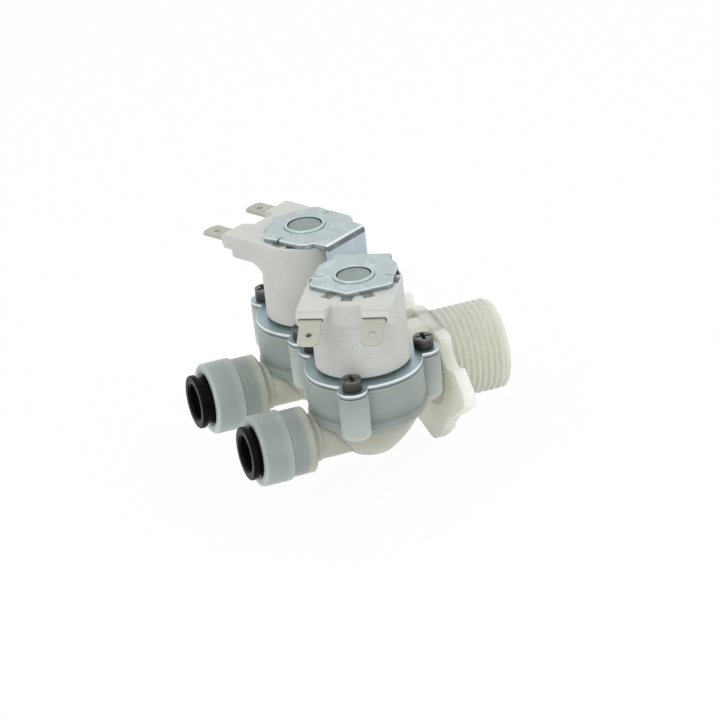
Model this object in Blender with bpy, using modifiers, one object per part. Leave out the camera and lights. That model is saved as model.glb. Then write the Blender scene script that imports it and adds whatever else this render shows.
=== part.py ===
"""Double solenoid water valve: a G 3/4 inlet, two diaphragm valves and two push-fit outlets.

The frame is +X out of the inlet, +Y towards the back valve and +Z up along the valve axes,
with the origin on the inlet's axis at the front face of the mounting flange. Metres.
Heights named _H are measured along a valve's axis from the top of its yoke's foot plate.
"""
import math

import bmesh
import bpy
from mathutils import Euler, Matrix, Vector

MM = 0.001
GAP = 0.3 * MM                     # clearance between pieces that seat on each other
CUT = 1.0 * MM                     # how far a cutter runs past the face that it opens
MERGE = 0.00001                    # weld distance of the turned shapes

# Layout
VALVE_PITCH = 41.0 * MM            # between the two valve axes
VALVE_SETBACK = 29.4 * MM          # valve axes behind the flange's front face
PLATE_RISE = 13.46 * MM            # foot plate's top above the inlet's axis
OUTLET_DROP = 19.3 * MM            # outlet axis below the foot plate's top
LEG_TURN = math.radians(120.0)     # from +X round to the terminal side, mirrored on the front valve

# Segments of the turned shapes
STEPS_LARGE = 26
STEPS_MEDIUM = 18
STEPS_SMALL = 12
STEPS_FINE = 10

# Yoke: foot plate, leg and top plate folded from one strip
YOKE_SHEET = 1.3 * MM
YOKE_HEIGHT = 27.0 * MM            # top plate's upper face
LEG_INNER = 14.4 * MM              # leg's inner face from the valve axis
LEG_WIDTH = 16.2 * MM
BEND_RADIUS = 1.6 * MM             # outside of the fold
BEND_POINTS = 3
FOOT_RADIUS = 16.9 * MM
FOOT_POINTS = 40
TOP_HALF_WIDTH = 11.6 * MM
TOP_NECK = 3.4 * MM                # straight run of the top plate from the fold
TOP_NECK_FLARE = 0.3 * MM
# Corners beside the neck, as (run from the fold, set in from the half width)
TOP_CORNERS = [(4.3, 1.7), (6.7, 0.3)]
TOP_FLAT = 2.0 * MM                # half length of the flat beside a slit
TOP_SHOULDER = 12.1 * MM
TOP_SHOULDER_AT = 4.9 * MM
TOP_SHOULDER_CUT = (1.1 * MM, 0.8 * MM)
TOP_APEX = 12.2 * MM
SLIT_WIDTH = 0.6 * MM
SLIT_DEPTH = 3.0 * MM

# Fixing screws
SCREW_CIRCLE = 18.4 * MM
SCREW_HEAD_RADIUS = 2.9 * MM
SCREW_HEAD_HEIGHT = 3.2 * MM
SCREW_SHANK_RADIUS = 1.8 * MM
SCREW_LENGTH = 11.8 * MM
SCREW_EDGE = 0.4 * MM
RECESS_WIDTH = 0.8 * MM
RECESS_SPAN = 3.6 * MM
RECESS_DEPTH = 1.4 * MM
SCREW_TURNS = (0.0, math.radians(120.0), math.radians(-120.0))

# Body: chamber, bosses and bowl
CHAMBER_RADIUS = 16.9 * MM
CHAMBER_DEPTH = 14.5 * MM          # foot plate's top to the chamber's lower edge
GROOVE_TOP = 10.6 * MM
GROOVE_WIDTH = 1.4 * MM
GROOVE_DEPTH = 0.5 * MM
BEAD_PROUD = 0.2 * MM
BOWL_DEPTH = 26.5 * MM
BOWL_RADIUS = 14.7 * MM
BOWL_FOOT_RADIUS = 6.0 * MM
BOSS_RADIUS = 4.4 * MM
BOSS_DEPTH = 13.6 * MM
BOSS_ROUND = 1.4 * MM
SEAT_BORE = 4.0 * MM
OUTLET_BORE = 3.7 * MM
SEAT_LIP = 1.2 * MM
CHANNEL_INNER = 6.2 * MM
CHANNEL_OUTER = 12.0 * MM
CHANNEL_DEPTH = 13.5 * MM
COVER_BORE = 14.6 * MM

# Body: inlet, trunk and mounting flange
THREAD_RADIUS = 13.22 * MM         # G 3/4 outside
THREAD_LENGTH = 17.5 * MM
THREAD_ROOT = 12.06 * MM
THREAD_PITCH = 1.814 * MM
THREAD_RIDGES = 8
INLET_BORE = 8.6 * MM
INLET_DEPTH = 25.5 * MM
STRAINER_SEAT_BORE = 9.7 * MM
STRAINER_SEAT_DEPTH = 1.9 * MM
TRUNK_RADIUS = 12.2 * MM
TRUNK_LENGTH = 24.0 * MM
GALLERY_RADIUS = 2.0 * MM
GALLERY_RISE = 2.1 * MM            # gallery axis above the inlet's axis
GALLERY_START = 6.0 * MM
FLANGE_THICKNESS = 3.7 * MM
# The flange's outline seen from the inlet, as (y, z) points
FLANGE_OUTLINE = [
    (-12.6, 11.3), (-13.1, 6.6), (-15.6, 3.8), (-17.9, 3.15), (-22.5, 4.8), (-25.2, 2.6),
    (-29.3, -0.5), (-29.0, -4.3), (-20.2, -10.2), (-15.4, -12.6), (-9.6, -17.4), (-8.2, -19.6),
    (-1.6, -24.4), (1.2, -26.0), (3.4, -26.2), (14.0, -24.7), (18.6, -20.6), (29.0, -4.3),
    (29.3, -0.5), (25.6, 9.6), (20.3, 12.4), (17.9, 7.3), (14.8, 9.5), (8.5, 12.4), (-6.6, 11.4)]

# Outlets: neck and socket of the body, cap, collet and seal
NECK_RADIUS = 6.6 * MM
SOCKET_RADIUS = 9.6 * MM
SOCKET_START = 47.6 * MM           # all distances back from the flange's front face
SOCKET_FULL = 48.9 * MM
SOCKET_END = 55.9 * MM
TUBE_STOP = 49.5 * MM
TUBE_BORE = 5.15 * MM              # for 10 mm tube
SEAL_FLOOR = 51.5 * MM
SEAL_BORE = 7.9 * MM
SEAL_WIRE = 1.15 * MM
SPACER_THICKNESS = 0.8 * MM
CAP_RADIUS = 10.3 * MM
CAP_LENGTH = 8.4 * MM
CAP_EDGE = 0.8 * MM
CAP_SPIGOT = 0.7 * MM
CAP_CAVITY = 8.2 * MM
CAP_THROAT = 7.2 * MM
CAP_MOUTH = 8.0 * MM
CAP_BACK_WALL = 0.8 * MM
CAM_START = 3.8 * MM               # collet's cam from the cap's back face
CAM_END = 5.3 * MM
COLLET_FLANGE_RADIUS = 7.8 * MM
COLLET_FLANGE = 1.6 * MM
COLLET_RADIUS = 6.7 * MM
COLLET_LENGTH = 7.6 * MM
COLLET_TOOTH_RADIUS = 7.6 * MM
COLLET_TOOTH = 1.2 * MM
COLLET_SLITS = 4
COLLET_SLIT_WIDTH = 1.0 * MM
COLLET_SLIT_LENGTH = 4.6 * MM
COLLET_STANDOFF = {"front": 1.1 * MM, "back": 2.1 * MM}

# Diaphragm and its cover
BONNET_WALL = 1.2 * MM
BONNET_DEPTH = 3.5 * MM
BONNET_CAVITY = 11.6 * MM
BEAD_WIDTH = 2.0 * MM
BEAD_HEIGHT = 2.0 * MM
DISC_RADIUS = 6.2 * MM
DISC_SET = 0.6 * MM                # disc's top below the bead's top
DISC_THICKNESS = 1.0 * MM
WEB_THICKNESS = 0.7 * MM
HUB_RADIUS = 6.0 * MM
HUB_PLATE = 0.7 * MM
HUB_NOZZLE = 0.3 * MM
HUB_NOZZLE_RADIUS = 1.4 * MM
HUB_STEM = 2.3 * MM
HUB_BUTTON = 3.3 * MM
HUB_TAIL = 2.3 * MM
PILOT_BORE = 0.5 * MM

# Guide tube, core and plunger
TUBE_RADIUS = 4.75 * MM
TUBE_WALL = 0.5 * MM
TUBE_PROUD = 0.2 * MM              # tube's top above the yoke
TUBE_LID = 0.8 * MM
TUBE_FLANGE_RADIUS = 9.5 * MM
TUBE_FLANGE = 0.6 * MM
CORE_BOTTOM = 15.0 * MM
SHADING_INNER = 2.3 * MM
SHADING_OUTER = 3.1 * MM
SHADING_HEIGHT = 1.0 * MM
PLUNGER_TOP = 12.5 * MM
PLUNGER_NOSE = 2.9 * MM
PLUNGER_TAPER = 1.7 * MM
PLUNGER_POCKET = 2.05 * MM
PLUNGER_POCKET_DEPTH = 6.1 * MM
SEAL_RADIUS = 1.8 * MM
SEAL_THICKNESS = 1.1 * MM
SPRING_RADIUS = 1.45 * MM
SPRING_WIRE = 0.25 * MM
SPRING_TURNS = 4
SPRING_POINTS = 8                  # points to a turn

# Coil
COIL_RADIUS = 13.6 * MM
COIL_BOTTOM = 0.8 * MM
COIL_POINTS = 36
COIL_CAVITY = 11.6 * MM
COIL_ROOF = 2.9 * MM
SLEEVE_INNER = 5.05 * MM
SLEEVE_WALL = 0.8 * MM
SLEEVE_LENGTH = 14.5 * MM
SLEEVE_PROUD = 0.5 * MM            # sleeve's top above the yoke
BOBBIN_RADIUS = 11.3 * MM
BOBBIN_FLANGE = 1.0 * MM
BOBBIN_TUBE = 7.2 * MM
WINDING_RADIUS = 10.9 * MM
# How far the housing bulges on its terminal side, as (depth under its top, bulge) points
COIL_BULGE = [(10.5, 0.0), (9.1, 0.8), (6.5, 2.9), (3.4, 3.4), (0.7, 3.4), (0.0, 2.8), (-1.0, 2.8)]
COIL_HALF_WIDTH = 13.5 * MM        # flat sides of the bulge
# Side view of a terminal tower, as (distance from the axis, depth under the housing's top)
TOWER_OUTLINE = [(6.3, -0.6), (19.8, -0.6), (19.8, 0.0), (21.3, 1.6), (20.5, 4.5), (17.6, 4.5),
                 (17.2, 6.8), (13.7, 6.8), (12.4, 5.6), (6.3, 5.2)]
TOWER_WIDTH = 8.6 * MM
NOTCHES = (0, 29, -29, 90, -90, 113, -113, 146, -146)   # degrees from the terminal side
NOTCH_FROM_AXIS = {0: 12.3, 29: 10.9, 90: 12.0, 113: 11.8, 146: 12.9}
NOTCH_WIDTH = 3.2 * MM
NOTCH_LENGTH = 1.9 * MM
NOTCH_DEPTH = 1.2 * MM

# Terminals: 6.3 mm tabs
TAB_WIDTH = 6.3 * MM
TAB_THICKNESS = 0.8 * MM
TAB_SPACING = 18.2 * MM
TAB_DEPTH = 2.3 * MM               # tab's upper face under the housing's top
TAB_STEP = 0.15 * MM               # root's upper face below the tab's
TAB_SHOULDER = 0.3 * MM            # step's place past the bend
TAB_ROOT = 13.6 * MM
TAB_BEND = 21.4 * MM
TAB_REACH = 8.7 * MM
TAB_CHAMFER = 1.1 * MM
TAB_HOLE = 0.85 * MM
TAB_HOLE_BACK = 3.8 * MM           # hole's centre from the tip
TAB_DROOP = {"front": math.radians(30.0), "back": 0.0}
COIL_TURN = {"front": 0.0, "back": math.radians(-2.0)}   # play of the coil on its tube

# Strainer in the inlet
STRAINER_FLANGE = 9.4 * MM
STRAINER_RIM = 1.2 * MM
STRAINER_RADIUS = 7.8 * MM
STRAINER_WALL = 0.8 * MM
STRAINER_LENGTH = 12.4 * MM
STRAINER_WINDOWS = 8
WINDOW_WIDTH = 2.2 * MM

# Heights that follow from the sizes above
FOOT_UNDER = -YOKE_SHEET
DECK_H = FOOT_UNDER - GAP
TUBE_FLANGE_UNDER = DECK_H - TUBE_FLANGE
BONNET_SEAT = TUBE_FLANGE_UNDER - GAP
BONNET_RIM = DECK_H - GAP
BONNET_UNDER = BONNET_SEAT - BONNET_DEPTH
BEAD_TOP = BONNET_UNDER - GAP
BEAD_UNDER = BEAD_TOP - BEAD_HEIGHT
LEDGE_H = BEAD_UNDER - GAP
DISC_TOP = BEAD_TOP - DISC_SET
DISC_UNDER = DISC_TOP - DISC_THICKNESS
SEAT_H = DISC_UNDER - GAP
HUB_UNDER = DISC_TOP + GAP
HUB_TOP = HUB_UNDER + HUB_PLATE
NOZZLE_TOP = HUB_TOP + HUB_NOZZLE
PLUNGER_TIP = NOZZLE_TOP + GAP
PLUNGER_RADIUS = TUBE_RADIUS - TUBE_WALL - GAP
COIL_TOP = YOKE_HEIGHT - YOKE_SHEET - GAP
TAB_TOP = COIL_TOP - TAB_DEPTH
TUBE_TOP = YOKE_HEIGHT + TUBE_PROUD
SLEEVE_TOP = YOKE_HEIGHT + SLEEVE_PROUD
SLEEVE_BOTTOM = SLEEVE_TOP - SLEEVE_LENGTH
CAVITY_TOP = COIL_TOP - COIL_ROOF
SLEEVE_OUTER = SLEEVE_INNER + SLEEVE_WALL
SLEEVE_BORE = SLEEVE_OUTER + GAP
LEG_OUTER = LEG_INNER + YOKE_SHEET
CAP_BACK = SOCKET_END + GAP
CAP_FACE = CAP_BACK + CAP_LENGTH
SEAL_CENTRE = SEAL_FLOOR + GAP + SEAL_WIRE
SEAL_RING_RADIUS = SEAL_BORE - GAP - SEAL_WIRE

SIDES = {"front": -1.0, "back": 1.0}
ALONG_X = Euler((0.0, math.radians(90.0), 0.0))                       # local Z to +X
FACING_X = Euler((math.radians(90.0), 0.0, math.radians(90.0)))       # local X, Y to +Y, +Z
SIDE_VIEW = Euler((math.radians(90.0), 0.0, 0.0))                     # local Y to +Z
# Cutters are turned a little about their axes, so that their edges miss those of the solids
CUTTER_TURN = math.radians(4.0)
CUTTER_UP = Euler((0.0, 0.0, CUTTER_TURN))
CUTTER_ALONG_X = (Matrix.Rotation(CUTTER_TURN, 3, "X") @ ALONG_X.to_matrix()).to_euler()


def clear_scene():
    for obj in list(bpy.data.objects):
        bpy.data.objects.remove(obj, do_unlink=True)


def new_collection(name):
    group = bpy.data.collections.new(name)
    bpy.context.scene.collection.children.link(group)
    return group


def finish(name, colour, roughness, metallic=0.0):
    """A Principled material in one colour."""
    mat = bpy.data.materials.new(name)
    mat.use_nodes = True
    shader = mat.node_tree.nodes["Principled BSDF"]
    shader.inputs["Base Color"].default_value = (*colour, 1.0)
    shader.inputs["Roughness"].default_value = roughness
    shader.inputs["Metallic"].default_value = metallic
    mat.diffuse_color = (*colour, 1.0)
    return mat


def make_finishes():
    """The object's finishes, by the name that the pieces ask for."""
    return {
        "nylon": finish("natural nylon", (0.42, 0.43, 0.37), 0.45),
        "coil_white": finish("coil housing white", (0.55, 0.56, 0.53), 0.5),
        "bobbin_white": finish("bobbin white", (0.62, 0.62, 0.58), 0.55),
        "zinc": finish("zinc plated steel", (0.52, 0.58, 0.58), 0.35, 0.9),
        "screw_steel": finish("dark screw steel", (0.10, 0.10, 0.10), 0.45, 0.8),
        "tin": finish("tinned brass", (0.50, 0.50, 0.42), 0.4, 0.8),
        "stainless": finish("stainless steel", (0.34, 0.38, 0.38), 0.35, 0.9),
        "black": finish("collet black", (0.010, 0.010, 0.011), 0.4),
        "rubber": finish("black rubber", (0.015, 0.015, 0.015), 0.8),
        "copper": finish("enamelled copper", (0.45, 0.16, 0.06), 0.35, 0.9),
        "mesh": finish("strainer nylon", (0.50, 0.50, 0.46), 0.5),
    }


def place(obj, finish_name, parent=None, location=(0.0, 0.0, 0.0), rotation=None, cutter=False):
    """Puts an object into its collection, under its parent, with its finish."""
    obj.location = location
    if rotation is not None:
        obj.rotation_euler = rotation
    obj.parent = parent
    (CUTTERS if cutter else PARTS).objects.link(obj)
    if cutter:
        obj.hide_render = True
        obj.display_type = "WIRE"
    else:
        obj.data.materials.clear()
        obj.data.materials.append(FINISHES[finish_name])
    return obj


def turned(name, profile, steps, finish_name=None, **where):
    """A profile of (radius, height) points turned about local Z.

    The points run over the top, down the outer side, and back under or up the bore.
    A profile that starts and ends on the axis is a solid of revolution, any other a ring.
    """
    mesh = bpy.data.meshes.new(name)
    count = len(profile)
    edges = [(i, i + 1) for i in range(count - 1)]
    if profile[0][0] > 0.0:
        edges.append((count - 1, 0))
    mesh.from_pydata([(radius, 0.0, height) for radius, height in profile], edges, [])
    obj = bpy.data.objects.new(name, mesh)
    screw = obj.modifiers.new("Turned", "SCREW")
    screw.axis = "Z"
    screw.steps = steps
    screw.render_steps = steps
    screw.use_merge_vertices = True
    screw.merge_threshold = MERGE
    screw.use_smooth_shade = False
    return place(obj, finish_name, **where)


def outlined(name, points, thickness, finish_name=None, **where):
    """A flat outline in local XY, filled on both sides and extruded to a thickness about z = 0."""
    curve = bpy.data.curves.new(name, "CURVE")
    curve.dimensions = "2D"
    curve.fill_mode = "BOTH"
    curve.extrude = thickness / 2.0
    spline = curve.splines.new("POLY")
    spline.points.add(len(points) - 1)
    for point, (x, y) in zip(spline.points, points):
        point.co = (x, y, 0.0, 1.0)
    spline.use_cyclic_u = True
    guide = bpy.data.objects.new(name + "_outline", curve)
    obj = meshed(guide, name)
    return place(obj, finish_name, **where)


def meshed(curve_obj, name):
    """The mesh that a curve object evaluates to, with its caps welded; the curve goes."""
    bpy.context.scene.collection.objects.link(curve_obj)
    depsgraph = bpy.context.evaluated_depsgraph_get()
    mesh = bpy.data.meshes.new_from_object(curve_obj.evaluated_get(depsgraph))
    mesh.name = name
    work = bmesh.new()
    work.from_mesh(mesh)
    bmesh.ops.remove_doubles(work, verts=work.verts, dist=MERGE)
    bmesh.ops.recalc_face_normals(work, faces=work.faces)
    work.to_mesh(mesh)
    work.free()
    bpy.data.objects.remove(curve_obj, do_unlink=True)
    return bpy.data.objects.new(name, mesh)


def boxes(name, blocks, finish_name=None, **where):
    """One mesh of separate blocks, each given as (low corner, high corner, turn about local Z)."""
    work = bmesh.new()
    for low, high, turn in blocks:
        centre = (Vector(low) + Vector(high)) / 2.0
        size = Vector(high) - Vector(low)
        matrix = (Matrix.Rotation(turn, 4, "Z") @ Matrix.Translation(centre)
                  @ Matrix.Diagonal((*size, 1.0)))
        bmesh.ops.create_cube(work, size=1.0, matrix=matrix)
    mesh = bpy.data.meshes.new(name)
    work.to_mesh(mesh)
    work.free()
    return place(bpy.data.objects.new(name, mesh), finish_name, **where)


def rod_cutter(name, radius, start, end, steps, **where):
    """A round cutter between two points."""
    start = Vector(start)
    end = Vector(end)
    line = end - start
    turn = line.to_track_quat("Z", "Y").to_matrix().to_4x4()
    matrix = Matrix.Translation((start + end) / 2.0) @ turn
    work = bmesh.new()
    bmesh.ops.create_cone(work, cap_ends=True, segments=steps, radius1=radius, radius2=radius,
                          depth=line.length, matrix=matrix)
    mesh = bpy.data.meshes.new(name)
    work.to_mesh(mesh)
    work.free()
    return place(bpy.data.objects.new(name, mesh), None, cutter=True, **where)


def combine(obj, tools, operation):
    """Joins tools to an object, or cuts it with them, one Boolean each."""
    for tool in tools:
        modifier = obj.modifiers.new(tool.name, "BOOLEAN")
        modifier.operation = operation
        modifier.solver = "EXACT"
        modifier.object = tool


def empty(name, location, turn=0.0, parent=None):
    obj = bpy.data.objects.new(name, None)
    obj.location = location
    obj.rotation_euler = (0.0, 0.0, turn)
    obj.parent = parent
    bpy.context.scene.collection.objects.link(obj)
    return obj


def polar(radius, turn, height=0.0):
    return Vector((radius * math.cos(turn), radius * math.sin(turn), height))


def arc(centre, radius, start, end, points):
    """Points along an arc in a flat outline, between two angles in degrees."""
    found = []
    for i in range(points + 1):
        turn = math.radians(start + (end - start) * i / points)
        found.append((centre[0] + radius * math.cos(turn), centre[1] + radius * math.sin(turn)))
    return found


def scaled(points):
    """Outline points in metres from points in millimetres."""
    return [(a * MM, b * MM) for a, b in points]


def chamber_solid(side, valve):
    """The round chamber with its groove, bead and bowl."""
    bead = CHAMBER_RADIUS + BEAD_PROUD
    groove = CHAMBER_RADIUS - GROOVE_DEPTH
    bead_top = -(GROOVE_TOP + GROOVE_WIDTH)
    bowl_top = -(CHAMBER_DEPTH + GROOVE_DEPTH)
    drop = BOWL_DEPTH + bowl_top
    bowl = []
    for share in (0.0, 0.27, 0.53, 0.83):
        radius = BOWL_RADIUS + (BOWL_FOOT_RADIUS - BOWL_RADIUS) * share ** 1.5
        bowl.append((radius, bowl_top - drop * share))
    profile = [(0.0, DECK_H + CUT), (CHAMBER_RADIUS, DECK_H + CUT), (CHAMBER_RADIUS, -GROOVE_TOP),
               (groove, -GROOVE_TOP - GROOVE_DEPTH), (groove, bead_top),
               (bead, bead_top - GROOVE_DEPTH), (bead, -CHAMBER_DEPTH), *bowl,
               (BOWL_FOOT_RADIUS, -BOWL_DEPTH), (0.0, -BOWL_DEPTH)]
    return turned(side + "_chamber_solid", profile, STEPS_LARGE, parent=valve, cutter=True)


def chamber_cutter(side, valve):
    """What is hollow in the chamber: cover bore, ring channel and the seat's bore."""
    lip = SEAT_BORE + SEAT_LIP
    bore_floor = -(OUTLET_DROP + SEAT_BORE + GAP)
    profile = [(0.0, DECK_H + CUT), (COVER_BORE, DECK_H + CUT), (COVER_BORE, LEDGE_H),
               (CHANNEL_OUTER, LEDGE_H), (CHANNEL_OUTER, -CHANNEL_DEPTH),
               (CHANNEL_INNER, -CHANNEL_DEPTH), (lip, SEAT_H), (SEAT_BORE, SEAT_H),
               (SEAT_BORE, bore_floor), (0.0, bore_floor)]
    return turned(side + "_chamber_cutter", profile, STEPS_MEDIUM, parent=valve,
                  rotation=CUTTER_UP, cutter=True)


def boss_solid(side, number, turn, valve):
    top = DECK_H + CUT / 2.0
    profile = [(0.0, top), (BOSS_RADIUS, top), (BOSS_RADIUS, BOSS_ROUND - BOSS_DEPTH),
               (BOSS_RADIUS - BOSS_ROUND, -BOSS_DEPTH), (0.0, -BOSS_DEPTH)]
    return turned(f"{side}_boss_{number}", profile, STEPS_SMALL, parent=valve,
                  location=polar(SCREW_CIRCLE, turn), cutter=True)


def outlet_solid(side, axis):
    """Neck and socket of one outlet; heights run along +X."""
    profile = [(0.0, -VALVE_SETBACK), (NECK_RADIUS, -VALVE_SETBACK), (NECK_RADIUS, -SOCKET_START),
               (SOCKET_RADIUS, -SOCKET_FULL), (SOCKET_RADIUS, -SOCKET_END), (0.0, -SOCKET_END)]
    return turned(side + "_outlet_solid", profile, STEPS_LARGE, location=axis, rotation=ALONG_X,
                  cutter=True)


def outlet_cutter(side, axis):
    """Flow bore, tube stop and seal bore of one outlet."""
    profile = [(0.0, -VALVE_SETBACK), (OUTLET_BORE, -VALVE_SETBACK), (OUTLET_BORE, -TUBE_STOP),
               (TUBE_BORE, -TUBE_STOP), (TUBE_BORE, -SEAL_FLOOR), (SEAL_BORE, -SEAL_FLOOR),
               (SEAL_BORE, -SOCKET_END - CUT), (0.0, -SOCKET_END - CUT)]
    return turned(side + "_outlet_cutter", profile, STEPS_MEDIUM, location=axis,
                  rotation=CUTTER_ALONG_X, cutter=True)


def inlet_solid():
    """Trunk and thread on the inlet's axis; the thread's turns are plain rings."""
    profile = [(0.0, THREAD_LENGTH), (THREAD_ROOT, THREAD_LENGTH)]
    for ridge in range(THREAD_RIDGES):
        middle = THREAD_LENGTH - THREAD_PITCH * (ridge + 0.5)
        profile += [(THREAD_RADIUS, middle), (THREAD_ROOT, middle - THREAD_PITCH / 2.0)]
    profile += [(THREAD_ROOT, -FLANGE_THICKNESS / 2.0), (TRUNK_RADIUS, -FLANGE_THICKNESS / 2.0),
                (TRUNK_RADIUS, -TRUNK_LENGTH), (0.0, -TRUNK_LENGTH)]
    return turned("inlet_solid", profile, STEPS_LARGE, rotation=ALONG_X, cutter=True)


def inlet_cutter():
    seat = THREAD_LENGTH - STRAINER_SEAT_DEPTH
    floor = THREAD_LENGTH - INLET_DEPTH
    profile = [(0.0, THREAD_LENGTH + CUT), (STRAINER_SEAT_BORE, THREAD_LENGTH + CUT),
               (STRAINER_SEAT_BORE, seat), (INLET_BORE, seat), (INLET_BORE, floor), (0.0, floor)]
    return turned("inlet_cutter", profile, STEPS_MEDIUM, rotation=CUTTER_ALONG_X, cutter=True)


def deck_cutter():
    """Levels the chambers, their bosses and the trunk under the yokes' foot plates."""
    low = (-VALVE_SETBACK - FOOT_RADIUS - BOSS_RADIUS, -VALVE_PITCH, PLATE_RISE + DECK_H)
    high = (-FLANGE_THICKNESS - CUT, VALVE_PITCH, PLATE_RISE + CUT)
    return boxes("deck_cutter", [(low, high, 0.0)], cutter=True)


def gallery_cutter(side, valve_axis):
    """A drilled way from the inlet to the middle of one ring channel."""
    start = Vector((-GALLERY_START, 0.0, GALLERY_RISE))
    centre = Vector((valve_axis.x, valve_axis.y, GALLERY_RISE))
    reach = (CHANNEL_INNER + CHANNEL_OUTER) / 2.0
    end = centre + (start - centre).normalized() * reach
    return rod_cutter(side + "_gallery", GALLERY_RADIUS, start, end, STEPS_FINE)


def valve_body(valves, axes):
    """The moulded body: flange, thread, trunk, two chambers with bosses and two outlets."""
    outline = scaled(FLANGE_OUTLINE)
    body = outlined("valve_body", outline, FLANGE_THICKNESS, "nylon",
                    location=(-FLANGE_THICKNESS / 2.0, 0.0, 0.0), rotation=FACING_X)
    solids = [inlet_solid()]
    cutters = [deck_cutter(), inlet_cutter()]
    for side in SIDES:
        solids.append(chamber_solid(side, valves[side]))
        solids.append(outlet_solid(side, axes[side]))
        cutters.append(chamber_cutter(side, valves[side]))
        cutters.append(outlet_cutter(side, axes[side]))
        cutters.append(gallery_cutter(side, valves[side].location))
        for number, turn in enumerate(SCREW_TURNS, 1):
            solids.append(boss_solid(side, number, turn, valves[side]))
            top = polar(SCREW_CIRCLE, turn, DECK_H + CUT)
            floor = polar(SCREW_CIRCLE, turn, -SCREW_LENGTH - GAP)
            cutters.append(rod_cutter(f"{side}_pilot_{number}", SCREW_SHANK_RADIUS + GAP, top, floor,
                                      STEPS_FINE, parent=valves[side]))
    combine(body, solids, "UNION")
    combine(body, cutters, "DIFFERENCE")


def inlet_strainer():
    """Rimmed cup with windows, seated on the step in the inlet's mouth."""
    seat = THREAD_LENGTH - STRAINER_SEAT_DEPTH + GAP
    top = seat + STRAINER_RIM
    floor = seat - STRAINER_LENGTH
    bore = STRAINER_RADIUS - STRAINER_WALL
    profile = [(0.0, floor + STRAINER_WALL), (bore, floor + STRAINER_WALL), (bore, top),
               (STRAINER_FLANGE, top), (STRAINER_FLANGE, seat), (STRAINER_RADIUS, seat),
               (STRAINER_RADIUS, floor), (0.0, floor)]
    strainer = turned("inlet_strainer", profile, STEPS_MEDIUM, "mesh", rotation=ALONG_X)
    half = WINDOW_WIDTH / 2.0
    low = (bore - STRAINER_WALL, -half, floor + 2.0 * STRAINER_WALL)
    high = (STRAINER_RADIUS + STRAINER_WALL, half, seat - STRAINER_WALL)
    blocks = [(low, high, math.tau * (i + 0.5) / STRAINER_WINDOWS) for i in range(STRAINER_WINDOWS)]
    windows = boxes("strainer_windows", blocks, rotation=ALONG_X, cutter=True)
    combine(strainer, [windows], "DIFFERENCE")


def outlet_cap(side, axis):
    """Screwless retaining cap with the cam that closes the collet."""
    spigot = SEAL_BORE - GAP
    bore = SEAL_RING_RADIUS - GAP / 2.0
    throat_start = CAP_FACE - CAP_EDGE
    profile = [(bore, -CAP_BACK + CAP_SPIGOT), (spigot, -CAP_BACK + CAP_SPIGOT), (spigot, -CAP_BACK),
               (CAP_RADIUS, -CAP_BACK), (CAP_RADIUS, -throat_start),
               (CAP_RADIUS - CAP_EDGE, -CAP_FACE), (CAP_MOUTH, -CAP_FACE),
               (CAP_THROAT, -throat_start), (CAP_THROAT, -CAP_BACK - CAM_END),
               (CAP_CAVITY, -CAP_BACK - CAM_START), (CAP_CAVITY, -CAP_BACK - CAP_BACK_WALL),
               (bore, -CAP_BACK - CAP_BACK_WALL)]
    turned(side + "_outlet_cap", profile, STEPS_LARGE, "nylon", location=axis, rotation=ALONG_X)


def collet(side, axis):
    """Release collet: flange, slit barrel and gripping teeth, free to slide along its axis."""
    origin = Vector(axis) - Vector((CAP_FACE + COLLET_STANDOFF[side], 0.0, 0.0))
    edge = CAP_EDGE / 2.0
    shoulder = COLLET_LENGTH - COLLET_TOOTH
    profile = [(TUBE_BORE, COLLET_LENGTH), (COLLET_TOOTH_RADIUS, COLLET_LENGTH),
               (COLLET_TOOTH_RADIUS, shoulder), (COLLET_RADIUS, shoulder - CAP_EDGE),
               (COLLET_RADIUS, 0.0), (COLLET_FLANGE_RADIUS, 0.0),
               (COLLET_FLANGE_RADIUS, edge - COLLET_FLANGE),
               (COLLET_FLANGE_RADIUS - edge, -COLLET_FLANGE),
               (TUBE_BORE + CAP_EDGE, -COLLET_FLANGE), (TUBE_BORE, CAP_EDGE - COLLET_FLANGE)]
    ring = turned(side + "_collet", profile, STEPS_MEDIUM, "black", location=origin,
                  rotation=ALONG_X)
    half = COLLET_SLIT_WIDTH / 2.0
    low = (TUBE_BORE - GAP, -half, COLLET_LENGTH - COLLET_SLIT_LENGTH)
    high = (COLLET_TOOTH_RADIUS + GAP, half, COLLET_LENGTH + CUT)
    blocks = [(low, high, math.tau * (i + 0.5) / COLLET_SLITS) for i in range(COLLET_SLITS)]
    slits = boxes(side + "_collet_slits", blocks, location=origin, rotation=ALONG_X, cutter=True)
    combine(ring, [slits], "DIFFERENCE")


def outlet_seal(side, axis):
    """O-ring on the socket's floor and the spacer ring between it and the cap."""
    circle = [(SEAL_RING_RADIUS + x, -SEAL_CENTRE + y)
              for x, y in reversed(arc((0.0, 0.0), SEAL_WIRE, 0.0, 300.0, 5))]
    turned(side + "_tube_o_ring", circle, STEPS_SMALL, "rubber", location=axis, rotation=ALONG_X)
    spacer_end = -(SEAL_CENTRE + SEAL_WIRE + GAP)
    profile = [(TUBE_BORE + GAP, spacer_end), (SEAL_BORE - GAP, spacer_end),
               (SEAL_BORE - GAP, spacer_end - SPACER_THICKNESS),
               (TUBE_BORE + GAP, spacer_end - SPACER_THICKNESS)]
    turned(side + "_spacer_ring", profile, STEPS_SMALL, "nylon", location=axis, rotation=ALONG_X)


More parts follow.
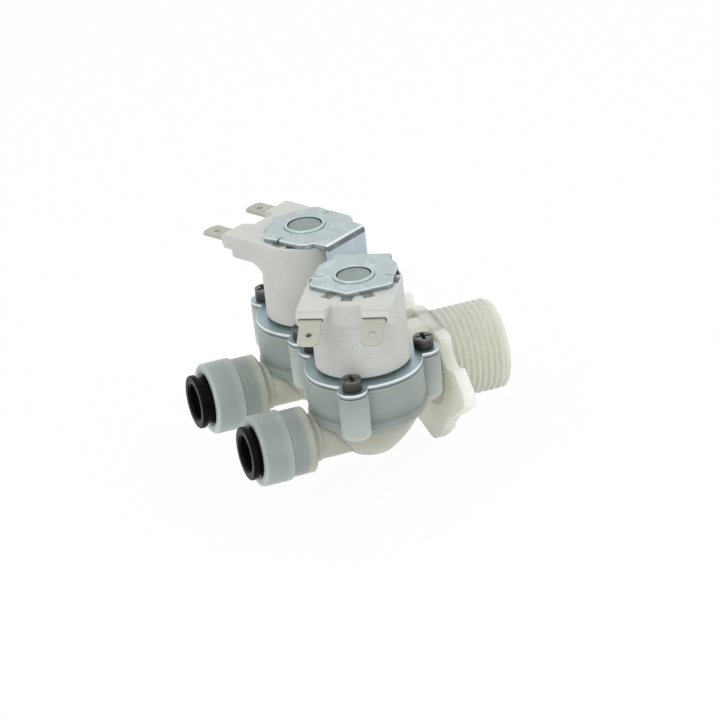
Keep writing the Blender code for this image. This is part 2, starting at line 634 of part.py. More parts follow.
def diaphragm(side, valve):
    """Rubber diaphragm and the moulded hub that it carries."""
    bead_outer = COVER_BORE - 1.3 * GAP
    bead_inner = bead_outer - BEAD_WIDTH
    web_outer = bead_inner - BEAD_WIDTH
    web_inner = DISC_RADIUS + BEAD_WIDTH / 2.0
    web_top = DISC_TOP - GAP
    web_under = web_top - WEB_THICKNESS
    hole = HUB_STEM + GAP
    profile = [(hole, DISC_TOP), (DISC_RADIUS, DISC_TOP), (web_inner, web_top), (web_outer, web_top),
               (bead_inner, BEAD_TOP), (bead_outer, BEAD_TOP), (bead_outer, BEAD_UNDER),
               (bead_inner, BEAD_UNDER), (web_outer, web_under), (web_inner, web_under),
               (DISC_RADIUS, DISC_UNDER), (hole, DISC_UNDER)]
    turned(side + "_diaphragm", profile, STEPS_SMALL, "rubber", parent=valve)
    button = DISC_UNDER - GAP
    hub = [(PILOT_BORE, NOZZLE_TOP), (HUB_NOZZLE_RADIUS, NOZZLE_TOP), (HUB_NOZZLE_RADIUS, HUB_TOP),
           (HUB_RADIUS, HUB_TOP), (HUB_RADIUS, HUB_UNDER), (HUB_STEM, HUB_UNDER), (HUB_STEM, button),
           (HUB_BUTTON, button), (HUB_STEM, button - HUB_TAIL), (PILOT_BORE, button - HUB_TAIL)]
    turned(side + "_diaphragm_hub", hub, STEPS_SMALL, "bobbin_white", parent=valve)


def bonnet(side, valve):
    """Cover disc that holds the diaphragm's bead down and carries the guide tube's flange."""
    roof = BONNET_SEAT - BONNET_WALL
    bore = PLUNGER_RADIUS + 1.5 * GAP
    pocket = TUBE_FLANGE_RADIUS + GAP
    outer = COVER_BORE - GAP
    profile = [(bore, BONNET_SEAT), (pocket, BONNET_SEAT), (pocket, BONNET_RIM),
               (outer, BONNET_RIM), (outer, BONNET_UNDER), (BONNET_CAVITY, BONNET_UNDER),
               (BONNET_CAVITY - GAP, roof - 2.0 * GAP), (HUB_RADIUS + BEAD_WIDTH, roof),
               (bore, roof)]
    turned(side + "_bonnet", profile, STEPS_MEDIUM, "bobbin_white", parent=valve)


def guide_tube(side, valve):
    """Closed stainless tube with its flange."""
    bore = TUBE_RADIUS - TUBE_WALL
    profile = [(0.0, TUBE_TOP), (TUBE_RADIUS, TUBE_TOP), (TUBE_RADIUS, DECK_H),
               (TUBE_FLANGE_RADIUS, DECK_H), (TUBE_FLANGE_RADIUS, TUBE_FLANGE_UNDER),
               (bore, TUBE_FLANGE_UNDER), (bore, TUBE_TOP - TUBE_LID), (0.0, TUBE_TOP - TUBE_LID)]
    turned(side + "_guide_tube", profile, STEPS_MEDIUM, "stainless", parent=valve)


def pole_core(side, valve):
    """Fixed core at the tube's closed end and the shading ring let into its face."""
    top = TUBE_TOP - TUBE_LID - GAP
    groove_top = CORE_BOTTOM + SHADING_HEIGHT + GAP
    groove_outer = SHADING_OUTER + GAP
    groove_inner = SHADING_INNER - GAP
    profile = [(0.0, top), (PLUNGER_RADIUS, top), (PLUNGER_RADIUS, CORE_BOTTOM),
               (groove_outer, CORE_BOTTOM), (groove_outer, groove_top), (groove_inner, groove_top),
               (groove_inner, CORE_BOTTOM), (0.0, CORE_BOTTOM)]
    turned(side + "_pole_core", profile, STEPS_SMALL, "stainless", parent=valve)
    ring_top = CORE_BOTTOM + SHADING_HEIGHT
    ring = [(SHADING_INNER, ring_top), (SHADING_OUTER, ring_top), (SHADING_OUTER, CORE_BOTTOM),
            (SHADING_INNER, CORE_BOTTOM)]
    turned(side + "_shading_ring", ring, STEPS_FINE, "copper", parent=valve)


def plunger(side, valve):
    """Sliding plunger, the seal in its tip and the spring in its head."""
    pocket_floor = PLUNGER_TOP - PLUNGER_POCKET_DEPTH
    seal_top = PLUNGER_TIP + SEAL_THICKNESS
    seal_pocket = SEAL_RADIUS + GAP
    profile = [(0.0, pocket_floor), (PLUNGER_POCKET, pocket_floor), (PLUNGER_POCKET, PLUNGER_TOP),
               (PLUNGER_RADIUS, PLUNGER_TOP), (PLUNGER_RADIUS, PLUNGER_TIP + PLUNGER_TAPER),
               (PLUNGER_NOSE, PLUNGER_TIP), (seal_pocket, PLUNGER_TIP),
               (seal_pocket, seal_top + GAP), (0.0, seal_top + GAP)]
    turned(side + "_plunger", profile, STEPS_SMALL, "stainless", parent=valve)
    disc = [(0.0, seal_top), (SEAL_RADIUS, seal_top), (SEAL_RADIUS, PLUNGER_TIP),
            (0.0, PLUNGER_TIP)]
    turned(side + "_plunger_seal", disc, STEPS_FINE, "rubber", parent=valve)

    low = pocket_floor + GAP + SPRING_WIRE
    high = CORE_BOTTOM - GAP - SPRING_WIRE
    curve = bpy.data.curves.new(side + "_plunger_spring", "CURVE")
    curve.dimensions = "3D"
    curve.bevel_depth = SPRING_WIRE
    curve.bevel_resolution = 1
    curve.use_fill_caps = True
    spline = curve.splines.new("POLY")
    steps = SPRING_TURNS * SPRING_POINTS
    spline.points.add(steps)
    for i, point in enumerate(spline.points):
        height = low + (high - low) * i / steps
        point.co = (*polar(SPRING_RADIUS, math.tau * i / SPRING_POINTS, height), 1.0)
    spring = meshed(bpy.data.objects.new("spring_guide", curve), side + "_plunger_spring")
    place(spring, "stainless", parent=valve)


def coil_shell(name):
    """Closed loft up the housing: a round barrel with a bulge on its terminal side."""
    work = bmesh.new()
    rings = []
    levels = [(COIL_BOTTOM, 0.0)]
    levels += [(COIL_TOP - depth, swell) for depth, swell in scaled(COIL_BULGE)]
    for level, swell in levels:
        ring = []
        for i in range(COIL_POINTS):
            turn = math.tau * i / COIL_POINTS
            radius = COIL_RADIUS
            if math.cos(turn) > 0.0:
                flat = max(COIL_RADIUS, COIL_HALF_WIDTH / max(abs(math.sin(turn)), 0.01))
                radius = min(COIL_RADIUS + swell, flat)
            ring.append(work.verts.new(polar(radius, turn, level)))
        rings.append(ring)
    for lower, upper in zip(rings, rings[1:]):
        for i in range(COIL_POINTS):
            j = (i + 1) % COIL_POINTS
            work.faces.new((lower[i], lower[j], upper[j], upper[i]))
    work.faces.new(reversed(rings[0]))
    work.faces.new(rings[-1])
    mesh = bpy.data.meshes.new(name)
    work.to_mesh(mesh)
    work.free()
    return bpy.data.objects.new(name, mesh)


def tower_solid(side, number, across, frame):
    """One terminal tower: its side view extruded to its width."""
    outline = [(out, COIL_TOP - depth) for out, depth in scaled(TOWER_OUTLINE)]
    return outlined(f"{side}_tower_{number}", outline, TOWER_WIDTH, parent=frame,
                    location=(0.0, across, 0.0), rotation=SIDE_VIEW, cutter=True)


def coil_housing(side, frame):
    """Moulded coil housing, open underneath, with a tower and a slot for each terminal."""
    housing = place(coil_shell(side + "_coil_housing"), "coil_white", parent=frame)
    towers = []
    slots = []
    for number, across in enumerate((-TAB_SPACING / 2.0, TAB_SPACING / 2.0), 1):
        towers.append(tower_solid(side, number, across, frame))
        half = TAB_WIDTH / 2.0 + GAP
        low = (TAB_ROOT - GAP, across - half, TAB_TOP - TAB_THICKNESS - GAP)
        high = (TAB_BEND + CUT, across + half, TAB_TOP + GAP)
        slots.append((low, high, 0.0))
    combine(housing, towers, "UNION")
    cavity = [(0.0, COIL_TOP + CUT), (SLEEVE_BORE, COIL_TOP + CUT), (SLEEVE_BORE, CAVITY_TOP),
              (COIL_CAVITY, CAVITY_TOP), (COIL_CAVITY, COIL_BOTTOM - CUT), (0.0, COIL_BOTTOM - CUT)]
    notches = []
    for turn in NOTCHES:
        near = NOTCH_FROM_AXIS[abs(turn)] * MM - NOTCH_LENGTH / 2.0
        low = (near, -NOTCH_WIDTH / 2.0, COIL_TOP - NOTCH_DEPTH)
        high = (near + NOTCH_LENGTH, NOTCH_WIDTH / 2.0, COIL_TOP + CUT)
        notches.append((low, high, math.radians(turn)))
    wide = TAB_BEND + CUT
    level = ((-wide, -wide, COIL_TOP), (wide, wide, COIL_TOP + 2.0 * CUT), 0.0)
    cutters = [
        boxes(side + "_coil_level", [level], parent=frame, cutter=True),
        turned(side + "_coil_cavity", cavity, STEPS_MEDIUM, parent=frame, rotation=CUTTER_UP,
               cutter=True),
        boxes(side + "_tab_slots", slots, parent=frame, cutter=True),
        boxes(side + "_coil_notches", notches, parent=frame, cutter=True)]
    combine(housing, cutters, "DIFFERENCE")


def coil_inside(side, frame):
    """Bobbin, winding and the flux sleeve that lines the bobbin's upper half."""
    top = CAVITY_TOP - GAP
    foot = GAP
    under_top = top - BOBBIN_FLANGE
    over_foot = foot + BOBBIN_FLANGE
    step = SLEEVE_BOTTOM - GAP
    bobbin = [(SLEEVE_BORE, top), (BOBBIN_RADIUS, top), (BOBBIN_RADIUS, under_top),
              (BOBBIN_TUBE, under_top), (BOBBIN_TUBE, over_foot), (BOBBIN_RADIUS, over_foot),
              (BOBBIN_RADIUS, foot), (SLEEVE_INNER, foot), (SLEEVE_INNER, step),
              (SLEEVE_BORE, step)]
    turned(side + "_bobbin", bobbin, STEPS_SMALL, "bobbin_white", parent=frame)
    inner = BOBBIN_TUBE + GAP
    wire = [(inner, under_top - GAP), (WINDING_RADIUS, under_top - GAP),
            (WINDING_RADIUS, over_foot + GAP), (inner, over_foot + GAP)]
    turned(side + "_winding", wire, STEPS_MEDIUM, "copper", parent=frame)
    sleeve = [(SLEEVE_INNER, SLEEVE_TOP), (SLEEVE_OUTER, SLEEVE_TOP),
              (SLEEVE_OUTER, SLEEVE_BOTTOM), (SLEEVE_INNER, SLEEVE_BOTTOM)]
    turned(side + "_flux_sleeve", sleeve, STEPS_MEDIUM, "zinc", parent=frame)


def tab_outline(droop):
    """A tab from the side: a thinner root in the housing, and the tab bent down outside it."""
    half = TAB_THICKNESS / 2.0
    level = TAB_TOP - half
    along = Vector((math.cos(droop), -math.sin(droop)))
    across = Vector((math.sin(droop), math.cos(droop))) * half
    bend = Vector((TAB_BEND, level))
    tip = bend + along * TAB_REACH
    shoulder = bend + along * TAB_SHOULDER
    step = across * (1.0 - TAB_STEP / half)
    root = half - TAB_STEP
    points = [(TAB_ROOT, level - half), tuple(tip - across), tuple(tip + across),
              tuple(shoulder + across), tuple(shoulder + step), (TAB_ROOT, level + root)]
    if droop > 0.0:
        mitre = math.tan(droop / 2.0)
        points.insert(5, (TAB_BEND + root * mitre, level + root))
        points.insert(1, (TAB_BEND - half * mitre, level - half))
    return points


def terminal(side, number, across, frame):
    """A flat tab with a chamfered tip and a latch hole, bent down where the coil's tabs are."""
    droop = TAB_DROOP[side]
    tab = outlined(f"{side}_terminal_{number}", tab_outline(droop), TAB_WIDTH, "tin",
                   parent=frame, location=(0.0, across, 0.0), rotation=SIDE_VIEW)
    bend = Vector((TAB_BEND, across, TAB_TOP - TAB_THICKNESS / 2.0))
    slope = Euler((0.0, droop, 0.0))
    hole = rod_cutter(f"{side}_terminal_hole_{number}", TAB_HOLE,
                      (TAB_REACH - TAB_HOLE_BACK, 0.0, -TAB_THICKNESS),
                      (TAB_REACH - TAB_HOLE_BACK, 0.0, TAB_THICKNESS), STEPS_FINE,
                      parent=frame, location=bend, rotation=slope)
    combine(tab, [hole], "DIFFERENCE")
    for corner, sign in (("left", 1.0), ("right", -1.0)):
        turn = Euler((0.0, droop, 0.0)).to_matrix() @ Matrix.Rotation(sign * math.radians(45.0), 3, "Z")
        middle = Vector((TAB_REACH - TAB_CHAMFER / 2.0, sign * (TAB_WIDTH - TAB_CHAMFER) / 2.0, 0.0))
        spot = bend + slope.to_matrix() @ middle
        low = (0.0, -TAB_WIDTH / 2.0, -TAB_THICKNESS)
        high = (TAB_WIDTH / 2.0, TAB_WIDTH / 2.0, TAB_THICKNESS)
        cutter = boxes(f"{side}_tip_{corner}_{number}", [(low, high, 0.0)], parent=frame,
                       location=spot, rotation=turn.to_euler(), cutter=True)
        combine(tab, [cutter], "DIFFERENCE")


def foot_outline():
    """Round foot plate with an ear at each screw and a straight side under the leg."""
    points = []
    fold = LEG_OUTER - BEND_RADIUS
    for i in range(FOOT_POINTS):
        turn = math.tau * i / FOOT_POINTS
        radius = FOOT_RADIUS
        for ear in SCREW_TURNS:
            aside = SCREW_CIRCLE * math.sin(turn - ear)
            if math.cos(turn - ear) > 0.0 and abs(aside) < BOSS_RADIUS:
                radius = max(radius, SCREW_CIRCLE * math.cos(turn - ear)
                             + math.sqrt(BOSS_RADIUS ** 2 - aside ** 2))
        if math.cos(turn) < 0.0:
            radius = min(radius, fold / -math.cos(turn))
        points.append((radius * math.cos(turn), radius * math.sin(turn)))
    return points


def strip_outline():
    """The folded strip from the side: foot, leg and top with rounded folds."""
    inner = BEND_RADIUS - YOKE_SHEET
    fold = LEG_OUTER - BEND_RADIUS
    low = FOOT_UNDER + BEND_RADIUS
    high = YOKE_HEIGHT - BEND_RADIUS
    start = -fold + BEND_RADIUS
    points = [(start, FOOT_UNDER)]
    points += arc((-fold, low), BEND_RADIUS, 270.0, 180.0, BEND_POINTS)
    points += arc((-fold, high), BEND_RADIUS, 180.0, 90.0, BEND_POINTS)
    points += [(start, YOKE_HEIGHT), (start, YOKE_HEIGHT - YOKE_SHEET)]
    points += arc((-fold, high), inner, 90.0, 180.0, BEND_POINTS)
    points += arc((-fold, low), inner, 180.0, 270.0, BEND_POINTS)
    points.append((start, 0.0))
    return points


def top_outline():
    """Top plate: parallel at the fold, wider over the coil, pointed on the terminal side."""
    fold = LEG_OUTER - BEND_RADIUS
    half = LEG_WIDTH / 2.0
    wide = TOP_HALF_WIDTH
    near = [(-fold, half), (TOP_NECK - fold, half + TOP_NECK_FLARE)]
    near += [(run - fold, wide - inset) for run, inset in scaled(TOP_CORNERS)]
    near += [(-TOP_FLAT, wide), (TOP_FLAT, wide), (TOP_SHOULDER_AT, TOP_SHOULDER),
             (TOP_SHOULDER_AT + TOP_SHOULDER_CUT[0], TOP_SHOULDER - TOP_SHOULDER_CUT[1])]
    return near + [(TOP_APEX, 0.0)] + [(x, -y) for x, y in reversed(near)]


def yoke(side, frame):
    """Yoke folded from one plated strip: foot plate, leg and top plate."""
    strip = outlined(side + "_yoke", strip_outline(), LEG_WIDTH, "zinc", parent=frame,
                     rotation=SIDE_VIEW)
    foot = outlined(side + "_yoke_foot", foot_outline(), YOKE_SHEET, parent=frame,
                    location=(0.0, 0.0, -YOKE_SHEET / 2.0), cutter=True)
    top = outlined(side + "_yoke_top", top_outline(), YOKE_SHEET, parent=frame,
                   location=(0.0, 0.0, YOKE_HEIGHT - YOKE_SHEET / 2.0), cutter=True)
    combine(strip, [foot, top], "UNION")
    holes = [rod_cutter(side + "_tube_hole", TUBE_RADIUS + GAP, (0.0, 0.0, FOOT_UNDER - CUT),
                        (0.0, 0.0, CUT), STEPS_MEDIUM, parent=frame),
             rod_cutter(side + "_sleeve_hole", SLEEVE_BORE, (0.0, 0.0, COIL_TOP),
                        (0.0, 0.0, YOKE_HEIGHT + CUT), STEPS_MEDIUM, parent=frame)]
    for number, turn in enumerate(SCREW_TURNS, 1):
        holes.append(rod_cutter(f"{side}_ear_hole_{number}", SCREW_SHANK_RADIUS + GAP,
                                polar(SCREW_CIRCLE, turn, FOOT_UNDER - CUT),
                                polar(SCREW_CIRCLE, turn, CUT), STEPS_FINE, parent=frame))
    half = SLIT_WIDTH / 2.0
    slits = []
    for turn in (90.0, -90.0):
        low = (TOP_HALF_WIDTH - SLIT_DEPTH, -half, YOKE_HEIGHT - YOKE_SHEET - CUT)
        high = (TOP_HALF_WIDTH + CUT, half, YOKE_HEIGHT + CUT)
        slits.append((low, high, math.radians(turn)))
    holes.append(boxes(side + "_top_slits", slits, parent=frame, cutter=True))
    combine(strip, holes, "DIFFERENCE")


def screws(side, valve):
    """Three self-tapping screws with a cross recess, standing on the yoke's ears."""
    top = GAP + SCREW_HEAD_HEIGHT
    profile = [(0.0, top), (SCREW_HEAD_RADIUS - SCREW_EDGE, top),
               (SCREW_HEAD_RADIUS, top - SCREW_EDGE), (SCREW_HEAD_RADIUS, GAP),
               (SCREW_SHANK_RADIUS, GAP), (SCREW_SHANK_RADIUS, -SCREW_LENGTH),
               (0.0, -SCREW_LENGTH)]
    for number, turn in enumerate(SCREW_TURNS, 1):
        centre = polar(SCREW_CIRCLE, turn)
        screw = turned(f"{side}_screw_{number}", profile, STEPS_FINE, "screw_steel", parent=valve,
                       location=centre)
        low = Vector((-RECESS_SPAN / 2.0, -RECESS_WIDTH / 2.0, top - RECESS_DEPTH))
        high = Vector((RECESS_SPAN / 2.0, RECESS_WIDTH / 2.0, top + CUT))
        for arm, quarter in (("a", 0.0), ("b", math.radians(90.0))):
            slot = boxes(f"{side}_recess_{number}{arm}", [(low, high, quarter)], parent=valve,
                         location=centre, cutter=True)
            combine(screw, [slot], "DIFFERENCE")


def build():
    valves = {}
    axes = {}
    for side, sign in SIDES.items():
        centre = Vector((-VALVE_SETBACK, sign * VALVE_PITCH / 2.0, PLATE_RISE))
        valves[side] = empty(side + "_valve_axis", centre)
        axes[side] = (0.0, centre.y, PLATE_RISE - OUTLET_DROP)
    valve_body(valves, axes)
    inlet_strainer()
    for side, sign in SIDES.items():
        valve = valves[side]
        yoke_frame = empty(side + "_yoke_frame", (0.0, 0.0, 0.0), sign * LEG_TURN, valve)
        coil_frame = empty(side + "_coil_frame", (0.0, 0.0, 0.0), COIL_TURN[side], yoke_frame)
        outlet_cap(side, axes[side])
        collet(side, axes[side])
        outlet_seal(side, axes[side])
        diaphragm(side, valve)
        bonnet(side, valve)
        guide_tube(side, valve)
        pole_core(side, valve)
        plunger(side, valve)
        coil_housing(side, coil_frame)
        coil_inside(side, coil_frame)
        for number, across in enumerate((-TAB_SPACING / 2.0, TAB_SPACING / 2.0), 1):
            terminal(side, number, across, coil_frame)
        yoke(side, yoke_frame)
        screws(side, valve)
    bpy.context.view_layer.update()


clear_scene()
PARTS = new_collection("double solenoid valve")
CUTTERS = new_collection("cutters")
FINISHES = make_finishes()
build()
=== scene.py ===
"""Looks of a double solenoid water valve: fine surfaces, procedural finishes, light and camera."""
import math

import bmesh
import bpy
import numpy as np
from bpy.props import FloatProperty, FloatVectorProperty, IntProperty, PointerProperty
from mathutils import Matrix, Vector


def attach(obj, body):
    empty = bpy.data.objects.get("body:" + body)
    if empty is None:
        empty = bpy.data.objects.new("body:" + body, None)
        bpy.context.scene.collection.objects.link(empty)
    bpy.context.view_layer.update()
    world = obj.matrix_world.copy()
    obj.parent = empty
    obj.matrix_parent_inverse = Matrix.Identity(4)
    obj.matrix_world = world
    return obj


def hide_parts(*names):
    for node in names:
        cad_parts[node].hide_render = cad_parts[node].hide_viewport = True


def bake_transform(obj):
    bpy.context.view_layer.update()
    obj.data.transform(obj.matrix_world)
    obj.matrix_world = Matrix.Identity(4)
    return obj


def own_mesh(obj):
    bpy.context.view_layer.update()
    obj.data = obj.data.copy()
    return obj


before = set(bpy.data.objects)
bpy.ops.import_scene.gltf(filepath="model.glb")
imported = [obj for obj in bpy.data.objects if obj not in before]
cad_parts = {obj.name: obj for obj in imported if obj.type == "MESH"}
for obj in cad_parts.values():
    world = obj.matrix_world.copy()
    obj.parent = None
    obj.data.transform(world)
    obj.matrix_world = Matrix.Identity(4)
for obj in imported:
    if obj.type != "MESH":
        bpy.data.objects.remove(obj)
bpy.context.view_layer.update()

bl_info = {
    "name": "Double solenoid valve",
    "version": (1, 0, 0),
    "blender": (4, 5, 0),
    "location": "View3D > Sidebar > Valve",
    "description": "Builds the visual pieces of a double solenoid water valve",
    "category": "Object",
}

MM = 0.001
SIDES = {"front": -1, "back": 1}

# The same sizes as the solids, in millimetres; heights along a valve are above its foot plate
SETBACK, HALF_PITCH, RISE = 29.4, 20.5, 13.46
OUTLET_Z = -5.84
DECK = -1.6
THREAD_CREST, THREAD_ROOT, THREAD_END = 13.22, 12.06, 17.5
FLANGE_BACK, FLANGE_ROUND = -3.7, 0.35
SCREW_CIRCLE = 18.4
SCREW_TURNS = (0.0, 120.0, -120.0)
FLANGE = [
    (-12.6, 11.3), (-13.1, 6.6), (-15.6, 3.8), (-17.9, 3.15), (-22.5, 4.8), (-25.2, 2.6),
    (-29.3, -0.5), (-29.0, -4.3), (-20.2, -10.2), (-15.4, -12.6), (-9.6, -17.4), (-8.2, -19.6),
    (-1.6, -24.4), (1.2, -26.0), (3.4, -26.2), (14.0, -24.7), (18.6, -20.6), (29.0, -4.3),
    (29.3, -0.5), (25.4, 10.0), (19.2, 12.7), (17.0, 8.0), (14.8, 9.5), (11.9, 11.4), (8.5, 12.4),
    (-6.6, 11.4)]
INLET_CENTRE = (8.0, -6.0)          # y and z of the point that the inlet skin is seen from
TRUNK_RADIUS, TRUNK_END, INLET_BORE, INLET_FLOOR = 12.2, -24.0, 8.6, -8.0
# Coil housing: bulge and tower front at each height, and the pockets' middles from the axis
COIL_RADIUS, COIL_FLAT, COIL_TOP, COIL_FOOT = 13.6, 13.5, 25.4, 1.0
BULGE = [(0.8, 0.0), (14.2, 0.0), (16.3, 0.8), (18.9, 2.8), (21.6, 3.4), (24.7, 3.4), (25.4, 3.2)]
TOWER = [(18.6, 17.2), (20.9, 17.6), (20.92, 20.5), (23.6, 21.25), (23.9, 21.2), (25.4, 19.8)]
TOWER_FOOT = 18.6
TOWER_INNER, TOWER_OUTER, TOWER_ROUND = 4.8, 13.4, 0.7
SLOT_LOW, SLOT_HIGH, SLOT_HALF, SLOT_DEPTH = 22.05, 23.35, 3.45, 2.5
NOTCHES = {0: 12.3, 29: 11.6, -29: 11.6, 90: 12.0, -90: 12.0, 113: 12.0, -113: 12.0, 146: 12.9,
           -146: 12.9}
NOTCH_DEPTH, NOTCH_REACH, NOTCH_HALF = 2.3, 1.6, 1.6
HIDDEN_BY_YOKE = {"front": 0.0, "back": 1.6}
COIL_BORE, LIP_ROUND, CAVITY_RADIUS, CAVITY_TOP = 6.15, 0.6, 11.6, 22.5
TAB_ACROSS, TAB_BEND, TAB_LEVEL = 9.1, 21.4, 22.7
COIL_TURN = {"front": -120.0, "back": 118.0}
YOKE_TURN = {"front": -120.0, "back": 120.0}
TAB_DROOP = {"front": 30.0, "back": 0.0}
COLLET_START = {"front": -65.7, "back": -66.7}
# Yoke: sheet, foot disc with its ears, and the folds from foot to leg to top
SHEET, YOKE_TOP, YOKE_TOP_UNDER, LEG_WIDTH = 1.3, 27.0, 25.45, 16.2
FOOT_RADIUS, EAR_RADIUS, TUBE_HOLE = 16.9, 4.4, 5.05
FOLD_START, FOLD_RADIUS, FOLD_LOW, FOLD_HIGH = 14.1, 0.95, 0.3, 25.4
SCREW_TOP, CROSS_HALF, CROSS_REACH = 3.5, 0.5, 2.35
SPRING_LOW, SPRING_HIGH, SPRING_RADIUS, SPRING_WIRE, SPRING_TURNS = 6.95, 14.45, 1.45, 0.25, 4
SHARP_ANGLE = math.radians(38.0)

# Stage: camera's turn, lift and roll, its distance and shift, and the lights
CAMERA_ANGLES = (-17.6, 24.36, -6.28)
CAMERA_DISTANCE, CAMERA_RIGHT, CAMERA_DOWN, CAMERA_LENS = 2500.0, 6.1, 6.83, 438.1
FLOOR_REACH, FLOOR_LEVEL = 0.9, -0.0268
TARGET = (-25.0, 0.0, 5.0)
LIGHTS = [
    ("key", (-330.0, -260.0, 430.0), 320.0, 0.75, (1.0, 1.0, 1.0)),
    ("fill", (260.0, -420.0, 180.0), 420.0, 0.36, (1.0, 0.99, 0.97)),
    ("rim", (120.0, 260.0, 480.0), 320.0, 0.3, (0.97, 0.99, 1.0))]
COLOUR = {"subtype": "COLOR", "min": 0.0, "max": 1.0}


def linear(red, green, blue):
    """Scene-linear colour of an 8-bit display colour."""
    values = np.array([red, green, blue]) / 255.0
    curved = ((values + 0.055) / 1.055) ** 2.4
    return tuple(float(v) for v in np.where(values <= 0.04045, values / 12.92, curved))


class ValveSizes(bpy.types.PropertyGroup):
    """Sizes that a user may change without leaving the solids."""
    thread_pitch: FloatProperty(
        name="Thread pitch", description="Advance of the inlet thread in one turn",
        default=1.814 * MM, min=0.5 * MM, unit="LENGTH")
    around: IntProperty(
        name="Steps around", description="Faces around the turned pieces", default=144, min=24)
    edge_round: FloatProperty(
        name="Edge rounding", description="Radius that softens moulded edges in the shading",
        default=0.35 * MM, min=0.0, unit="LENGTH")


class ValveColours(bpy.types.PropertyGroup):
    """Colours of the finishes."""
    nylon: FloatVectorProperty(
        name="Nylon", description="Natural nylon of the bowls and necks",
        default=linear(205, 207, 193), **COLOUR)
    # The inlet's colour is painted lighter than the bowls' nylon, for light that shines through
    # the thin thread and flange.
    inlet: FloatVectorProperty(
        name="Inlet", description="Bright, deeply lit nylon of the thread, flange and trunk",
        default=linear(232, 234, 221), **COLOUR)
    chamber: FloatVectorProperty(
        name="Chamber", description="Cooler tone of the thick chamber walls",
        default=linear(160, 168, 164), **COLOUR)
    cap: FloatVectorProperty(
        name="Cap", description="Outlet caps and sockets", default=linear(165, 174, 170), **COLOUR)
    coil: FloatVectorProperty(
        name="Coil housing", description="White coil housings",
        default=linear(205, 207, 202), **COLOUR)
    zinc: FloatVectorProperty(
        name="Zinc plate", description="Plated yokes", default=linear(180, 192, 192), **COLOUR)
    tabs: FloatVectorProperty(
        name="Tabs", description="Tinned terminals", default=linear(180, 180, 168), **COLOUR)
    collet: FloatVectorProperty(
        name="Collet", description="Black release collets", default=linear(15, 15, 15), **COLOUR)
    screw: FloatVectorProperty(
        name="Screws", description="Dark screws", default=linear(100, 100, 98), **COLOUR)


# Materials

def put(socket, value):
    """Set a socket's value, or link it where the value is another node's output."""
    if isinstance(value, bpy.types.NodeSocket):
        socket.id_data.links.new(value, socket)
    else:
        socket.default_value = value


def feed(made, **values):
    """Give a node its inputs by name, and its settings."""
    for name, value in values.items():
        socket = made.inputs.get(name.replace("_", " "))
        if socket is None:
            setattr(made, name, value)
        else:
            put(socket, value)
    return made


def node(tree, kind, **values):
    return feed(tree.nodes.new(kind), **values)


def maths(tree, operation, *values):
    """Result of a Math node."""
    made = node(tree, "ShaderNodeMath", operation=operation)
    for socket, value in zip(made.inputs, values):
        put(socket, value)
    return made.outputs[0]


def object_coordinates(tree):
    return tree.nodes.new("ShaderNodeTexCoord").outputs["Object"]


def object_axes(tree):
    """Sockets X, Y and Z of the object coordinates."""
    return node(tree, "ShaderNodeSeparateXYZ", Vector=object_coordinates(tree)).outputs


def noise(tree, scale, detail=3.0, roughness=0.5):
    """Fractal noise over object coordinates; scale is in features per metre."""
    return node(tree, "ShaderNodeTexNoise", Vector=object_coordinates(tree), Scale=scale,
                Detail=detail, Roughness=roughness).outputs["Fac"]


def remap(tree, value, low, high, to_low=0.0, to_high=1.0):
    """A value taken from one range to another and held at its ends."""
    return node(tree, "ShaderNodeMapRange", Value=value, From_Min=low, From_Max=high,
                To_Min=to_low, To_Max=to_high).outputs["Result"]


def mix_colour(tree, factor, first, second, blend="MIX"):
    """Mix of two colours, each a tuple or a socket, by a number or a socket."""
    made = node(tree, "ShaderNodeMix", data_type="RGBA", blend_type=blend)
    put(made.inputs[0], factor)
    for socket, value in ((made.inputs[6], first), (made.inputs[7], second)):
        put(socket, value if isinstance(value, bpy.types.NodeSocket) else (*value, 1.0))
    return made.outputs[2]


def shade(colour, factor=1.0):
    return tuple(min(1.0, c * factor) for c in colour)


def start_material(name):
    mat = bpy.data.materials.new(name)
    mat.use_nodes = True
    return mat, mat.node_tree, mat.node_tree.nodes["Principled BSDF"]


def surface_normal(tree, shader, height, distance, radius=0.0):
    """Bump from a height socket over softened edges."""
    bump = node(tree, "ShaderNodeBump", Strength=1.0, Distance=distance, Height=height)
    if radius > 0.0:
        soft = node(tree, "ShaderNodeBevel", samples=4, Radius=radius)
        feed(bump, Normal=soft.outputs["Normal"])
    feed(shader, Normal=bump.outputs["Normal"])


def bands(tree, axis, stops, waver=0.6):
    """Colours along one object axis, softly joined: a stop is (place, colour) or adds a factor.

    Places are in millimetres, along Z above the foot plates. The axis RADIAL is the distance
    from the inlet's axis. The bands waver by so many millimetres. Their factors paint light and
    shade into the colours.
    """
    base = RISE if axis == "Z" else 0.0
    axes = object_axes(tree)
    source = axes.get(axis)
    if source is None:
        across = node(tree, "ShaderNodeCombineXYZ", Y=axes["Y"], Z=axes["Z"])
        length = node(tree, "ShaderNodeVectorMath", operation="LENGTH")
        put(length.inputs[0], across.outputs[0])
        source = length.outputs["Value"]
    wavy = remap(tree, noise(tree, 110.0, 2.0), 0.0, 1.0, -waver * MM, waver * MM)
    level = maths(tree, "ADD", source, wavy)
    low, high = base + stops[0][0], base + stops[-1][0]
    ramp = tree.nodes.new("ShaderNodeValToRGB")
    ramp.color_ramp.interpolation = "EASE"
    marks = ramp.color_ramp.elements
    while len(marks) < len(stops):
        marks.new(0.5)
    for mark, (place, *tone) in zip(marks, stops):
        mark.position = (base + place - low) / (high - low)
        mark.color = (*shade(*tone), 1.0)
    put(ramp.inputs[0], remap(tree, level, low * MM, high * MM))
    return ramp.outputs[0]


def tinted(tree, tone, factor, low, high):
    """The tone made darker and lighter by a factor between two brightness values."""
    grey = mix_colour(tree, factor, (low,) * 3, (high,) * 3)
    return mix_colour(tree, 1.0, tone, grey, "MULTIPLY")


